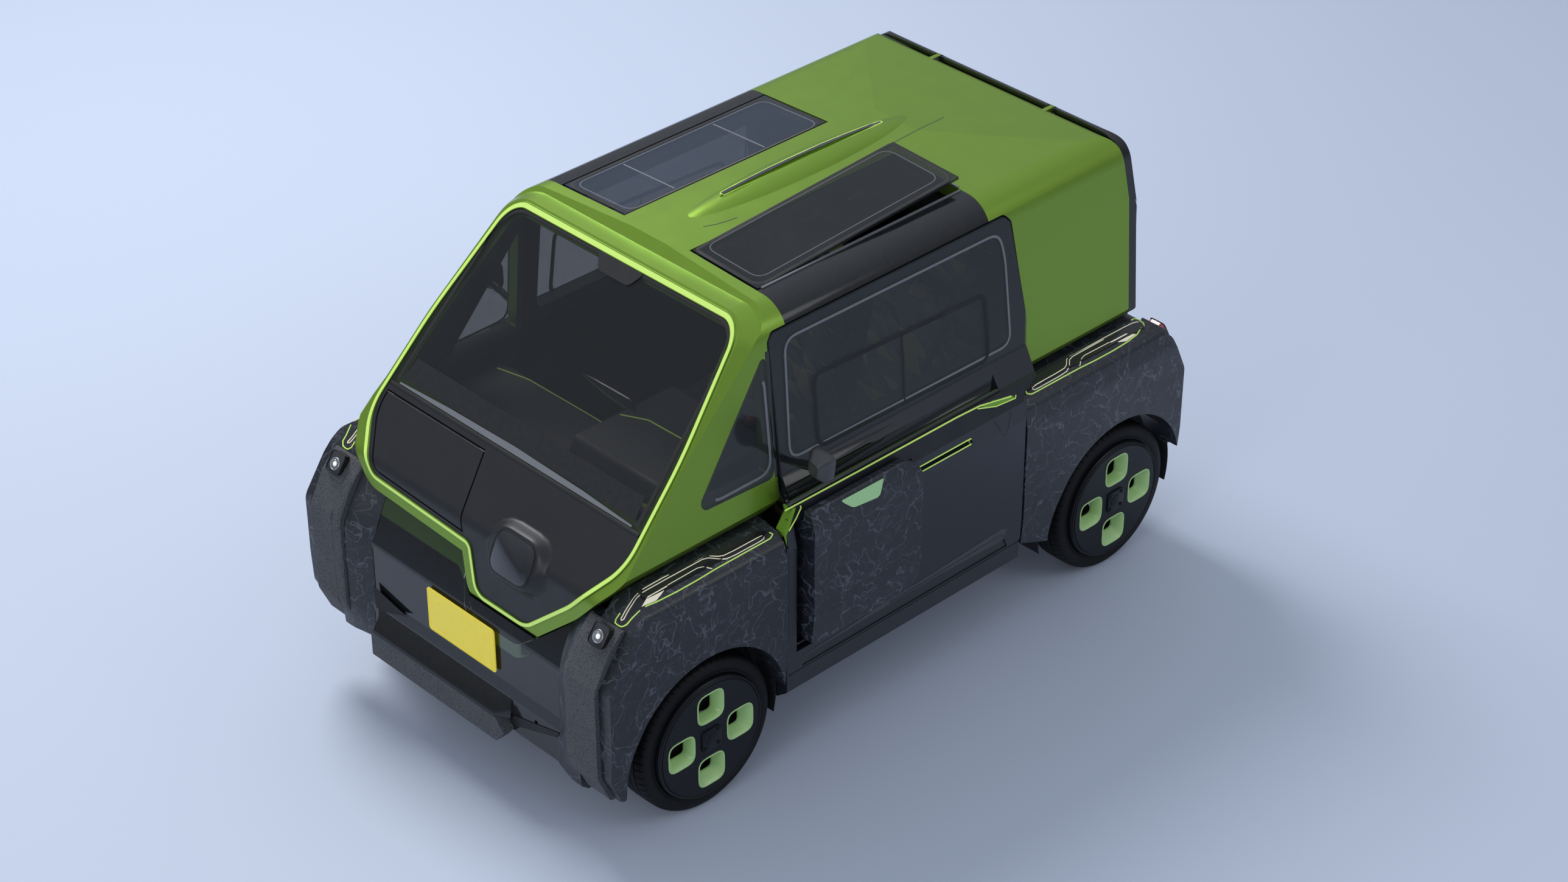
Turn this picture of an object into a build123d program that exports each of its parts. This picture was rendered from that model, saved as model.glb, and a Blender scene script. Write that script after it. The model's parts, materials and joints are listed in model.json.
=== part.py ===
from build123d import *
from math import cos, radians, sin, tan
import os

# Electric two-seat city car. Frame: +Z up, front of the car towards -Y, its left side
# towards +X, origin on the ground under the middle of the bounding box. Millimetres.

# ---- whole car -----------------------------------------------------------------------
LENGTH = 2490
WIDTH = 1400
WHEELBASE = 1780
FRONT_OVERHANG = 425
NOSE_Y = -LENGTH / 2
TAIL_Y = LENGTH / 2
FRONT_AXLE_Y = NOSE_Y + FRONT_OVERHANG
REAR_AXLE_Y = FRONT_AXLE_Y + WHEELBASE
SIDE_X = WIDTH / 2

# ---- clearances ----------------------------------------------------------------------
SEAM = 6.0            # gap round doors, lids and hatches
SEAT_GAP = 0.3        # gap between a glass or panel and its frame
RUNNING_GAP = 0.05    # radial clearance of a shaft in its bore

# ---- wheels and tyres ----------------------------------------------------------------
TYRE_RADIUS = 257
TYRE_WIDTH = 130
RIM_RADIUS = 203
RIM_WALL = 9
DISC_PROUD = 16       # wheel disc stands out past the tyre's shoulder
DISC_THICKNESS = 22
WHEEL_FACE_X = 668    # outer face of the wheel disc
TYRE_X = WHEEL_FACE_X - DISC_PROUD - TYRE_WIDTH / 2
WINDOW_RING = 116     # radius at which the four disc windows sit
WINDOW_SIZE = 100     # across the flanged mouth of a window
WINDOW_HOLE = 60      # clear hole at its bottom, nearer the hub
WINDOW_SHIFT = 6
WINDOW_DEPTH = 14
HUB_RADIUS = 46
SPINDLE_RADIUS = 15
KINGPIN_X = 545
KINGPIN_RADIUS = 10
KNUCKLE_HEIGHT = 150
STEER_ROOM_X = 392    # inner side of the front wheelhouse, clear of the turned tyre
REAR_HOUSE_X = 490   # inner side of the rear wheelhouse

# ---- cabin capsule -------------------------------------------------------------------
WALL = 45             # thickness of roof, pillars and quarters
ROOF_Z = 1520
ROOF_EDGE_DROP = 16   # crown of the roof
ROOF_HALF = 540       # half width at the cantrail
SHOULDER_RADIUS = 100
BELT_HALF = 600       # half width at the belt
BELT_Z = 900
SHELL_BOTTOM_Z = 870
SHELL_REAR_BOTTOM_Z = 885
SCREEN_SLOPE = 46.2   # windscreen angle from the ground
SCREEN_BASE_Y = -982
SCREEN_BASE_Z = 1004
SCREEN_TOP_Z = 1474
SCREEN_TOP_HALF = 487
SCREEN_BASE_HALF = 559
SCREEN_BEND_Z = 1180   # where the screen's sides bend
MASK_BREAK_Z = 838    # where the mask turns down more steeply
CHIN_Y = -1172
MASK_WIDEST_Z = 937   # where the mask is widest and turns in under the screen
MASK_LOW_Z = 634      # lowest edge of the mask, on the car's left
MASK_LOW_HALF = 262   # its lower left corner
MASK_HIGH_Z = 791     # its bottom edge on the right, above the step
MASK_HIGH_HALF = 442
MASK_STEP_X = 25
CHIN_BAND = 48        # green band below the mask, trim included
TRIM_WIDTH = 15
FACET_BORDER = 20     # where the front pillars' facets start, outside the glass
FACET_DEPTH = 45
FACET_ANGLE = 42
TRIM_PROUD = 4
GLASS = 6
POD_X = 205           # display blister on the mask
POD_Y = -1139
POD_Z = 824
POD_WIDTH = 176
POD_HEIGHT = 138
POD_RADIUS = 44
POD_PROUD = 14
POD_SINK = 26
POD_TILT = 26
MASK_THICKNESS = 14
REAR_TOP_Y = 1035
REAR_MID_Y = 1111
REAR_MID_Z = 960
REAR_ROOF_Z = 1498
TAILGATE_THICKNESS = 40
GATE_PIN_Y = 1040
GATE_PIN_Z = 1492
GATE_HINGE_X = 245
SPINE_HALF = 147      # green spine between the roof hatches
HATCH_FRONT_Y = -389
HATCH_REAR_Y = 437
HATCH_OUTER_X = 420
HATCH_REST_ANGLE = 3.2
HATCH_GLASS = 9
HATCH_GAP = 9         # gap in front of a hatch, for its swing
HATCH_PIN_BACK = 6
HATCH_PIN_Z = 1508
HATCH_PIN_RADIUS = 3.5
RIDGE_FRONT_Y = -330
RIDGE_REAR_Y = 690
RIDGE_HALF = 78
RIDGE_TOP_Z = 1546
RIDGE_SINK = 24       # depth of the ridge's ellipsoid centre below the roof
SLOT_FRONT_Y = -140
SLOT_REAR_Y = 530
SLOT_WIDTH = 17
SLOT_DEPTH = 14

# ---- doors ---------------------------------------------------------------------------
DOOR_THICKNESS = 52
DOOR_RABBET = 14      # depth of the door's outer layer, past which its edge steps in
HINGE_X = 694         # rod on which a door turns, in the seam behind the front fender
HINGE_RADIUS = 4
DOOR_FRONT_Y = -532
DOOR_REAR_Y = 476
DOOR_SILL_Z = 347
DOOR_BELT_Z = 912     # top edge of the lower door skin
DOOR_FRONT_TOP_Y = -470
DOOR_GLASS_Z = 988    # bottom edge of the door glass
DOOR_TOP_Z = 1438
DOOR_WIDEST_X = 697
DOOR_BELT_X = 664
FRAME_WIDTH = 52      # width of the frame round the door window
BIN_FRONT_Y = -468
BIN_REAR_Y = -18
BIN_LOW_Z = 432
BIN_HIGH_Z = 914      # top of the bin's outer lip
BIN_MOUTH_Z = 868     # top of its inner part, under the belt
BIN_FACE_X = 738
BIN_WALL = 14
BIN_DEPTH = 82
BIN_SLOT = 32         # open hand slot in front of the bin
HANDLE_SLOT_Z = 828
CHANNEL_Z = 896       # floor of the belt channel
CHANNEL_FRONT_Y = -480
CHANNEL_REAR_Y = 400
BAR_X = 640           # tube bar in the belt channel
BAR_Z = 910
BAR_RADIUS = 10
CREASE_Z = 388

# ---- fenders -------------------------------------------------------------------------
FENDER_TOP_Z = 852    # outer top edge
FENDER_CROWN_Z = 865  # inner top edge, under the cabin
LIGHT_BAR = 6         # height of the light bars on the fenders
FENDER_SKIN = 40
ARCH_RADIUS = 312
ARCH_FORWARD = 34
ARCH_RAISE = 18
FENDER_LOW_Z = 270
PAD_THICKNESS = 46
PAD_OUTER_X = 652

# ---- lower body ----------------------------------------------------------------------
TUB_HALF = 553
FENDER_INNER_X = TUB_HALF + SEAT_GAP
TUB_WALL = 30
FLOOR_Z = 235
FLOOR_THICKNESS = 30
CARGO_FLOOR_Z = 600
BULKHEAD_Y = 486      # rear face of the bulkhead behind the seats
TUB_FRONT_Y = -1100
TUB_REAR_Y = 1085
SILL_LOW_Z = 280
BATTERY_HALF = 400
BATTERY_FRONT_Y = -330
BATTERY_REAR_Y = 520
BATTERY_HEIGHT = 75

# ---- cabin fittings ------------------------------------------------------------------
SEAT_X = 262
SEAT_WIDTH = 440
SEAT_Z = 560
SEAT_FRONT_Y = -150
SEAT_BACK_Y = 330
BACK_LEAN = 14
CUSHION = 95
WHEEL_TILT = 28       # steering column from the horizontal
STEERING_RADIUS = 170
STEERING_Y = -255
STEERING_Z = 940
DASH_TOP_Z = 920
DASH_REAR_Y = -567
HOOD_TOP_Z = 1008     # instrument hood over the driver's side of the dashboard
HOOD_REAR_Y = -370
HOOD_INNER_X = 50
PLATE_WIDTH = 311
PLATE_HEIGHT = 155
PLATE_Z = 491
PLATE_BOLTS = 210
JACK_PAD = 60
TOW_RADIUS = 8
TOW_DEPTH = 45
NOSE_PLATE_Y = -1190  # face that carries the number plate
NOSE_LOW_Y = -1200
REAR_PANEL_Y = 1150
TOW_X = 330
TOW_Z = 330
PLATE_STANDOFF = 8
LAMP_X = 600
BIN_PIN_X = 690
BIN_PIN_Z = 444


# ---- helpers -------------------------------------------------------------------------
def ring(corners):
    """Closed outline through corners given as (u, v) or (u, v, radius)."""
    points = [(c[0], c[1]) for c in corners]
    radii = [c[2] if len(c) > 2 else 0 for c in corners]
    return make_face(FilletPolyline(*points, radius=radii, close=True))


def prism_x(face, low, high):
    """Solid from an outline drawn in (y, z), between two x values."""
    plane = Plane(origin=(low, 0, 0), x_dir=(0, 1, 0), z_dir=(1, 0, 0))
    return extrude(plane * face, high - low)


def prism_y(face, low, high):
    """Solid from an outline drawn in (x, z), between two y values."""
    plane = Plane(origin=(0, high, 0), x_dir=(1, 0, 0), z_dir=(0, -1, 0))
    return extrude(plane * face, high - low)


def prism_z(face, low, high):
    """Solid from an outline drawn in (x, y), between two z values."""
    return extrude(Plane(origin=(0, 0, low)) * face, high - low)


def block(x, y, z):
    """Box from three (low, high) pairs."""
    size = (x[1] - x[0], y[1] - y[0], z[1] - z[0])
    centre = ((x[0] + x[1]) / 2, (y[0] + y[1]) / 2, (z[0] + z[1]) / 2)
    return Pos(*centre) * Box(*size)


def rod(start, end, radius):
    """Round bar between two points."""
    a, b = Vector(*start), Vector(*end)
    return extrude(Plane(origin=a, z_dir=b - a) * Circle(radius), (b - a).length)


def mirrored(shape):
    """The same piece for the other side of the car."""
    return mirror(shape, about=Plane.YZ)


def both_sides(shape):
    return shape + mirrored(shape)


def export(name, shape):
    shape.label = name
    export_step(shape, f"parts/{name}.step")


# ---- cabin capsule -------------------------------------------------------------------
SLOPE = tan(radians(SCREEN_SLOPE))
MASK_BREAK_Y = SCREEN_BASE_Y - (SCREEN_BASE_Z - MASK_BREAK_Z) / SLOPE
ROOF_START_Y = SCREEN_BASE_Y + (ROOF_Z - SCREEN_BASE_Z) / SLOPE
CHIN_LOW_Z = MASK_LOW_Z - CHIN_BAND


def side_outline(shrink=0):
    """Side view of the capsule in (y, z)."""
    face = ring([
        (CHIN_Y, CHIN_LOW_Z, 10),
        (CHIN_Y + 240, SHELL_BOTTOM_Z, 60),
        (REAR_MID_Y - 52, SHELL_REAR_BOTTOM_Z, 25),
        (REAR_MID_Y, REAR_MID_Z, 60),
        (REAR_TOP_Y, REAR_ROOF_Z, 50),
        (600, ROOF_Z - 1, 0),
        (ROOF_START_Y, ROOF_Z, 100),
        (MASK_BREAK_Y, MASK_BREAK_Z, 60),
    ])
    return offset(face, amount=-shrink) if shrink else face


def section_outline(shrink=0, low=SHELL_BOTTOM_Z - 400):
    """Cross-section of the capsule in (x, z): crowned roof, leaning sides."""
    lean = (BELT_HALF - ROOF_HALF) / (ROOF_Z - ROOF_EDGE_DROP - BELT_Z)
    foot = BELT_HALF
    corners = [
        (-foot, low), (foot, low), (foot, BELT_Z),
        (ROOF_HALF, ROOF_Z - ROOF_EDGE_DROP - 4, SHOULDER_RADIUS),
        (0, ROOF_Z + 3),
        (-ROOF_HALF, ROOF_Z - ROOF_EDGE_DROP - 4, SHOULDER_RADIUS),
        (-foot, BELT_Z),
    ]
    face = ring(corners)
    return offset(face, amount=-shrink) if shrink else face


def front_outline():
    """Front view of windscreen and mask together, in (x, z)."""
    step = 21
    return ring([
        (-SCREEN_TOP_HALF, SCREEN_TOP_Z, 70), (SCREEN_TOP_HALF, SCREEN_TOP_Z, 70),
        (SCREEN_BASE_HALF - 10, SCREEN_BEND_Z, 900), (SCREEN_BASE_HALF + 9, MASK_WIDEST_Z, 110),
        (MASK_HIGH_HALF, MASK_HIGH_Z, 400), (MASK_LOW_HALF, MASK_LOW_Z, 80),
        (MASK_STEP_X + step, MASK_LOW_Z, 45), (MASK_STEP_X - step, MASK_HIGH_Z - 8, 35),
        (-MASK_HIGH_HALF - 8, MASK_HIGH_Z + 9, 45), (-SCREEN_BASE_HALF - 9, MASK_WIDEST_Z, 110),
        (-SCREEN_BASE_HALF + 10, SCREEN_BEND_Z, 900),
    ])


def capsule_front_view():
    """Front view of the whole capsule: the mask with its band, then the sides."""
    band = offset(front_outline(), amount=CHIN_BAND)
    upper = ring([
        (-SIDE_X, MASK_WIDEST_Z - 15), (SIDE_X, MASK_WIDEST_Z - 15),
        (SIDE_X, ROOF_Z + 100), (-SIDE_X, ROOF_Z + 100),
    ])
    return band + upper


def facet_cut():
    """What the facets beside the windscreen take off the front pillars."""
    border = FACET_BORDER
    corners = [
        (SCREEN_TOP_HALF + border, SCREEN_TOP_Z + border, 90),
        (SCREEN_BASE_HALF - 10 + border, SCREEN_BEND_Z, 900),
        (SCREEN_BASE_HALF + border + 5, SCREEN_BASE_Z + 6, 200),
        (BELT_HALF + 6, BELT_Z + 5), (BELT_HALF + 6, SHELL_BOTTOM_Z - 200),
    ]
    rise = sin(radians(SCREEN_SLOPE))
    right = [(c[0], (c[1] - SCREEN_BASE_Z) / rise, *c[2:]) for c in corners]
    left = [(-c[0], *c[1:]) for c in reversed(right)]
    slope = radians(SCREEN_SLOPE)
    glass_plane = Plane(origin=(0, SCREEN_BASE_Y, SCREEN_BASE_Z), x_dir=(1, 0, 0),
                        z_dir=(0, -sin(slope), cos(slope)))
    kept = extrude(glass_plane * ring(right + left), -FACET_DEPTH, taper=-FACET_ANGLE)
    slab = glass_plane * Pos(0, 350, (20 - FACET_DEPTH) / 2) * Box(2 * SIDE_X, 850, FACET_DEPTH + 20)
    return slab - kept - extrude(glass_plane * ring(right + left), 21)


def capsule_solid(shrink=0):
    """Outer solid of the capsule, or a smaller one inside it."""
    body = prism_x(side_outline(shrink), -SIDE_X, SIDE_X)
    body = body & prism_y(section_outline(shrink), -2000, 2000)
    if shrink == 0:
        body = body & prism_y(capsule_front_view(), -2000, 2000)
        cut = facet_cut()
        body = body - cut
    plan = ring([
        (-SIDE_X, -2000), (SIDE_X, -2000),
        (SIDE_X, REAR_MID_Y - 60 - shrink),
        (BELT_HALF - shrink, REAR_MID_Y - 60 - shrink, 20),
        (420 - shrink, REAR_MID_Y + 5 - shrink, 300),
        (-420 + shrink, REAR_MID_Y + 5 - shrink, 300),
        (-BELT_HALF + shrink, REAR_MID_Y - 60 - shrink, 20),
        (-SIDE_X, REAR_MID_Y - 60 - shrink),
    ])
    return body & prism_z(plan, 0, 2000)


CAPSULE = capsule_solid()


def skin(face_solid, thickness):
    """The outer layer of the capsule's front inside a prism along Y."""
    return (CAPSULE & face_solid) - Pos(0, thickness / sin(radians(SCREEN_SLOPE)), 0) * CAPSULE


def screen_outline(shrink=0):
    """Windscreen in (x, z): the front opening above the screen's base."""
    above = ring([(-SIDE_X, SCREEN_BASE_Z + 4), (SIDE_X, SCREEN_BASE_Z + 4),
                  (SIDE_X, ROOF_Z), (-SIDE_X, ROOF_Z)])
    face = front_outline() & above
    return offset(face, amount=-shrink) if shrink else face


def mask_outline(shrink=0):
    below = ring([(-SIDE_X, SCREEN_BASE_Z - 4), (SIDE_X, SCREEN_BASE_Z - 4),
                  (SIDE_X, 300), (-SIDE_X, 300)])
    face = front_outline() & below
    return offset(face, amount=-shrink) if shrink else face


LID_MARGIN = 18       # strip of mask round the lid
LID_INNER_X = -106    # top of the lid's inner edge
LID_PIN_Z = SCREEN_BASE_Z - 4 - LID_MARGIN - 1.5
LID_PIN_Y = SCREEN_BASE_Y - (SCREEN_BASE_Z - LID_PIN_Z) / SLOPE + 5


def lid_outline(grow=0):
    """Service lid on the right half of the mask, in (x, z)."""
    inner = offset(mask_outline(), amount=-LID_MARGIN + grow)
    cut = ring([(-SIDE_X, SCREEN_BASE_Z), (LID_INNER_X + grow, SCREEN_BASE_Z),
                (LID_INNER_X + 69 + grow, MASK_HIGH_Z), (LID_INNER_X + 69 + grow, 500),
                (-SIDE_X, 500)])
    return inner & cut


def quarter_outline(shrink=0):
    """Quarter glass behind the front pillar, in (y, z)."""
    face = ring([(-487, 1398, 12), (-797, 1000, 26), (-487, 986, 26)])
    return offset(face, amount=-shrink) if shrink else face


def door_outline(grow=0):
    """Side view of a door in (y, z)."""
    face = ring([
        (DOOR_FRONT_Y, DOOR_SILL_Z, 12), (DOOR_REAR_Y, DOOR_SILL_Z, 12),
        (DOOR_REAR_Y, FENDER_CROWN_Z + 12, 8), (DOOR_REAR_Y + 84, DOOR_BELT_Z + 4, 12),
        (575, 1090, 200), (530, 1412, 26), (505, DOOR_TOP_Z, 20),
        (-452, DOOR_TOP_Z, 16), (DOOR_FRONT_TOP_Y, 1418, 8),
        (DOOR_FRONT_TOP_Y, DOOR_BELT_Z, 12), (DOOR_FRONT_Y, FENDER_TOP_Z, 8),
    ])
    return offset(face, amount=grow) if grow else face


def door_section(inset=0, depth=DOOR_THICKNESS):
    """Cross-section of the left door in (x, z), inset from its outer face."""
    outer = [
        (692, DOOR_SILL_Z - 30), (DOOR_WIDEST_X, 430), (DOOR_WIDEST_X, 800),
        (686, 860), (DOOR_BELT_X, DOOR_BELT_Z), (DOOR_BELT_X - 16, DOOR_BELT_Z + 4),
        (603, DOOR_GLASS_Z), (552, 1400), (542, DOOR_TOP_Z + 30),
    ]
    front = [(x - inset, z) for x, z in outer]
    back = [(x - inset - depth, z) for x, z in reversed(outer)]
    return ring(front + back)


def hatch_region(x_low, x_high, front, rear, low=1300, high=1700):
    return block((x_low, x_high), (front, rear), (low, high))


def ridge():
    """Lens-shaped swell along the middle of the roof, and the slot in its top."""
    middle = (RIDGE_FRONT_Y + RIDGE_REAR_Y) / 2
    rise = RIDGE_TOP_Z - ROOF_Z + RIDGE_SINK
    half = (RIDGE_REAR_Y - RIDGE_FRONT_Y) / 2
    body = Pos(0, middle, ROOF_Z - RIDGE_SINK) * scale(Sphere(1), by=(RIDGE_HALF, half, rise))
    body &= block((-RIDGE_HALF, RIDGE_HALF), (RIDGE_FRONT_Y, RIDGE_REAR_Y), (ROOF_Z - 20, RIDGE_TOP_Z))
    slot_middle = (SLOT_FRONT_Y + SLOT_REAR_Y) / 2
    slot = SlotOverall(SLOT_REAR_Y - SLOT_FRONT_Y, SLOT_WIDTH, rotation=90)
    cut = extrude(Pos(0, slot_middle, RIDGE_TOP_Z - SLOT_DEPTH) * slot, 60)
    return body, cut


def cabin_shell():
    """Green upper body: pillars, roof spine and rear quarters, one hollow piece."""
    shell = CAPSULE - capsule_solid(WALL)
    shell -= block((-BELT_HALF + WALL, BELT_HALF - WALL), (CHIN_Y + 270, REAR_MID_Y - 95),
                   (SHELL_BOTTOM_Z - 60, SHELL_REAR_BOTTOM_Z + WALL + 15))
    boss, slot = ridge()
    shell = shell + boss - slot
    # front: trim groove, screen and mask seats, then the openings behind them
    trim_zone = offset(front_outline(), amount=TRIM_WIDTH + SEAT_GAP)
    shell -= skin(prism_y(trim_zone, -2000, -300), MASK_THICKNESS + SEAT_GAP)
    shell -= prism_y(screen_outline(26), -2000, -300)
    shell -= prism_y(mask_outline(30), -2000, SCREEN_BASE_Y + 40)
    # sides: quarter glass and door openings
    for side in (1, -1):
        reach = (300, 800) if side > 0 else (-800, -300)
        shell -= prism_x(door_outline(SEAM), *reach)
        shell -= prism_x(quarter_outline(16), *reach)
    quarter_seat = quarter_glasses(SEAT_GAP)
    shell -= quarter_seat
    # roof: hatches and dark shoulders
    for low, high in ((SPINE_HALF - SEAM, 620), (-620, -SPINE_HALF + SEAM)):
        shell -= hatch_region(low, high, HATCH_FRONT_Y - HATCH_GAP, HATCH_REAR_Y + SEAM)
    shell -= hatch_pins(RUNNING_GAP)
    for x in (-GATE_HINGE_X, GATE_HINGE_X):
        knuckle_block = block((x - 8, x + 8), (REAR_TOP_Y - 50, GATE_PIN_Y + 7), (1474, GATE_PIN_Z + 7))
        shell += knuckle_block
        shell -= rod((x - 9, GATE_PIN_Y, GATE_PIN_Z), (x + 9, GATE_PIN_Y, GATE_PIN_Z),
                     3.5 + RUNNING_GAP)
    return shell


def quarter_glasses(gap=0):
    pane = CAPSULE & prism_x(quarter_outline(-gap), 300, 800)
    pane = pane - Pos(-GLASS - gap, 0, 0) * CAPSULE
    pane = pane & block((400, 800), (-900, -400), (900, 1500))
    return both_sides(pane)


def windscreen():
    return skin(prism_y(screen_outline(), -2000, -300), GLASS)


def mask_pod():
    """Raised blister across the bend of the mask, which frames a small display."""
    slope = radians(POD_TILT)
    place = Plane(origin=(POD_X, POD_Y, POD_Z), x_dir=(1, 0, 0), z_dir=(0, -cos(slope), sin(slope)))
    plan = fillet(Rectangle(POD_WIDTH, POD_HEIGHT).vertices(), POD_RADIUS)
    blister = extrude(place.offset(-POD_SINK) * plan, POD_SINK + POD_PROUD, taper=20)
    display = fillet(Rectangle(POD_WIDTH - 66, POD_HEIGHT - 60).vertices(), POD_RADIUS / 2)
    return blister - extrude(place.offset(POD_PROUD - 3) * display, 10)


def front_mask():
    panel = skin(prism_y(mask_outline(), -2000, -300), MASK_THICKNESS - 2)
    panel -= prism_y(lid_outline(SEAM), -2000, -300)
    backing = skin(prism_y(mask_outline(30 + SEAT_GAP), -2000, -300), MASK_THICKNESS + 10)
    backing -= skin(prism_y(mask_outline(), -2000, -300), MASK_THICKNESS - 2)
    return panel + backing + mask_pod() - lid_pins(RUNNING_GAP)


def lid_pins(gap=0):
    """Pins at both ends of the lid's top edge."""
    y, z = LID_PIN_Y, LID_PIN_Z
    low = rod((-SCREEN_BASE_HALF + 2, y, z), (-SCREEN_BASE_HALF + 40, y, z), 2.5 + gap)
    high = rod((LID_INNER_X - 14, y, z), (LID_INNER_X + 25, y, z), 2.5 + gap)
    return low + high


def mask_lid():
    return skin(prism_y(lid_outline(), -2000, -300), MASK_THICKNESS - 5) + lid_pins()


def mask_trim():
    outer = offset(front_outline(), amount=TRIM_WIDTH)
    inner = offset(front_outline(), amount=SEAT_GAP)
    band = prism_y(outer - inner, -2000, -300)
    proud = (Pos(0, -TRIM_PROUD, 0) * CAPSULE) & band
    return proud - Pos(0, (MASK_THICKNESS - 2) / sin(radians(SCREEN_SLOPE)), 0) * CAPSULE


def roof_rails():
    """Dark glass shoulders between roof hatch and door."""
    front, rear = HATCH_FRONT_Y - HATCH_GAP + SEAT_GAP, HATCH_REAR_Y + SEAM - SEAT_GAP
    solid = CAPSULE - capsule_solid(30)
    rail = solid & hatch_region(HATCH_OUTER_X + SEAM, 620, front, rear, low=DOOR_TOP_Z + SEAM)
    sill = hatch_region(HATCH_OUTER_X - 16, HATCH_OUTER_X + SEAM + 10, front, rear,
                        low=1440, high=1474)
    return both_sides(rail + (CAPSULE & sill))


def roof_hatch():
    """Left roof hatch, closed: a thin glass lid following the roof's crown."""
    lid = hatch_region(SPINE_HALF, HATCH_OUTER_X, HATCH_FRONT_Y, HATCH_REAR_Y)
    return (CAPSULE & lid) - Pos(0, 0, -HATCH_GLASS) * CAPSULE + hatch_pins()


def hatch_pins(gap=0):
    """Pin of the left hatch in the spine, or both pins' bores."""
    y, z = HATCH_FRONT_Y + HATCH_PIN_BACK, HATCH_PIN_Z
    pin = rod((SPINE_HALF - 22, y, z), (SPINE_HALF + 25, y, z), HATCH_PIN_RADIUS + gap)
    return both_sides(pin) if gap else pin


def hatch_axis():
    return Axis((0, HATCH_FRONT_Y + HATCH_PIN_BACK, HATCH_PIN_Z), (1, 0, 0))


def tailgate():
    """Rear door: a dark panel that follows the rear of the shell."""
    slab = Pos(0, TAILGATE_THICKNESS, 0) * CAPSULE
    rear = slab - Pos(0, SEAM, SEAM / 2) * CAPSULE - Pos(0, SEAM, 0) * CAPSULE
    rear = rear & block((-SIDE_X, SIDE_X), (GATE_PIN_Y - 4, TAIL_Y), (SHELL_REAR_BOTTOM_Z, 1600))
    rear = rear & prism_y(section_outline(8), 0, 2000)
    for x in (-GATE_HINGE_X, GATE_HINGE_X):
        rear -= rod((x - 14, GATE_PIN_Y, GATE_PIN_Z), (x + 14, GATE_PIN_Y, GATE_PIN_Z), 22)
        rear += rod((x - 18, GATE_PIN_Y, GATE_PIN_Z), (x + 18, GATE_PIN_Y, GATE_PIN_Z), 3.5)
    return rear


# ---- lower body ----------------------------------------------------------------------
def wheel_room(axle_y, inner_x, radius):
    """Space of both wheels of one axle, from an inner side outwards."""
    centre_y = axle_y - ARCH_FORWARD
    centre_z = TYRE_RADIUS + ARCH_RAISE
    round_part = rod((inner_x, centre_y, centre_z), (900, centre_y, centre_z), radius)
    low_part = block((inner_x, 900), (centre_y - radius, centre_y + radius), (0, centre_z))
    return both_sides(round_part + low_part)


def chassis_tub():
    """Floor, wheelhouses, bulkheads and the dark sides below the cabin."""
    top = SHELL_BOTTOM_Z - 4
    side = ring([
        (TUB_FRONT_Y, FLOOR_Z - FLOOR_THICKNESS + 40), (TUB_FRONT_Y + 60, FLOOR_Z - FLOOR_THICKNESS),
        (TUB_REAR_Y - 120, FLOOR_Z - FLOOR_THICKNESS), (TUB_REAR_Y, 420),
        (TUB_REAR_Y, top), (CHIN_Y + 250, top), (TUB_FRONT_Y, 640),
    ])
    tub = prism_x(side, -TUB_HALF, TUB_HALF)
    # footwell, cabin and load space
    foot = STEER_ROOM_X - TUB_WALL
    knee_z = FLOOR_Z + ARCH_RADIUS + 90
    tub -= block((-foot, foot), (TUB_FRONT_Y + 90, DOOR_FRONT_Y + 40), (FLOOR_Z, knee_z + 1))
    tub -= block((-TUB_HALF + TUB_WALL, TUB_HALF - TUB_WALL), (TUB_FRONT_Y + 200, -500),
                 (knee_z, 900))
    tub -= block((-TUB_HALF + TUB_WALL, TUB_HALF - TUB_WALL), (DOOR_FRONT_Y + 30, DOOR_REAR_Y - 20),
                 (FLOOR_Z, 900))
    tub -= block((-TUB_HALF + TUB_WALL, TUB_HALF - TUB_WALL), (DOOR_REAR_Y - 21, TUB_REAR_Y - 40),
                 (CARGO_FLOOR_Z, 900))
    # space of the wheels
    tub -= wheel_room(FRONT_AXLE_Y, STEER_ROOM_X, ARCH_RADIUS + 8)
    tub -= wheel_room(REAR_AXLE_Y, REAR_HOUSE_X, ARCH_RADIUS + 8)
    under = REAR_HOUSE_X - TUB_WALL
    tub -= block((-under, under), (BULKHEAD_Y, TUB_REAR_Y - TUB_WALL),
                 (0, CARGO_FLOOR_Z - FLOOR_THICKNESS))
    tub -= block((-450, 450), (FRONT_AXLE_Y - 60, FRONT_AXLE_Y + 60), (0, FLOOR_Z - 12))
    for x_range in ((REAR_HOUSE_X - TUB_WALL - 5, REAR_HOUSE_X + 1),
                    (-REAR_HOUSE_X - 1, -REAR_HOUSE_X + TUB_WALL + 5)):
        tub -= block(x_range, (REAR_AXLE_Y - 60, REAR_AXLE_Y + 60), (0, TYRE_RADIUS + 110))
    # door openings
    low = SILL_LOW_Z + 66
    for x_range in ((TUB_HALF - TUB_WALL - 1, 700), (-700, -TUB_HALF + TUB_WALL + 1)):
        tub -= block(x_range, (DOOR_FRONT_Y + 30, DOOR_REAR_Y - 20), (low, 900))
    # jacking pads
    for y in (DOOR_FRONT_Y + 90, DOOR_REAR_Y - 90):
        pad = block((TUB_HALF - 70, TUB_HALF - 70 + JACK_PAD), (y - 30, y + 30),
                    (FLOOR_Z - FLOOR_THICKNESS - 18, FLOOR_Z - FLOOR_THICKNESS + 1))
        tub += both_sides(pad)
    return tub


def sills():
    face = ring([(TUB_HALF + SEAT_GAP, SILL_LOW_Z - 20), (650, SILL_LOW_Z - 30), (688, SILL_LOW_Z),
                 (690, DOOR_SILL_Z - SEAM), (TUB_HALF + SEAT_GAP, DOOR_SILL_Z - SEAM)])
    sill = prism_y(face, DOOR_FRONT_Y - SEAM / 2, DOOR_REAR_Y)
    return both_sides(sill + hinge_rod())


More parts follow.
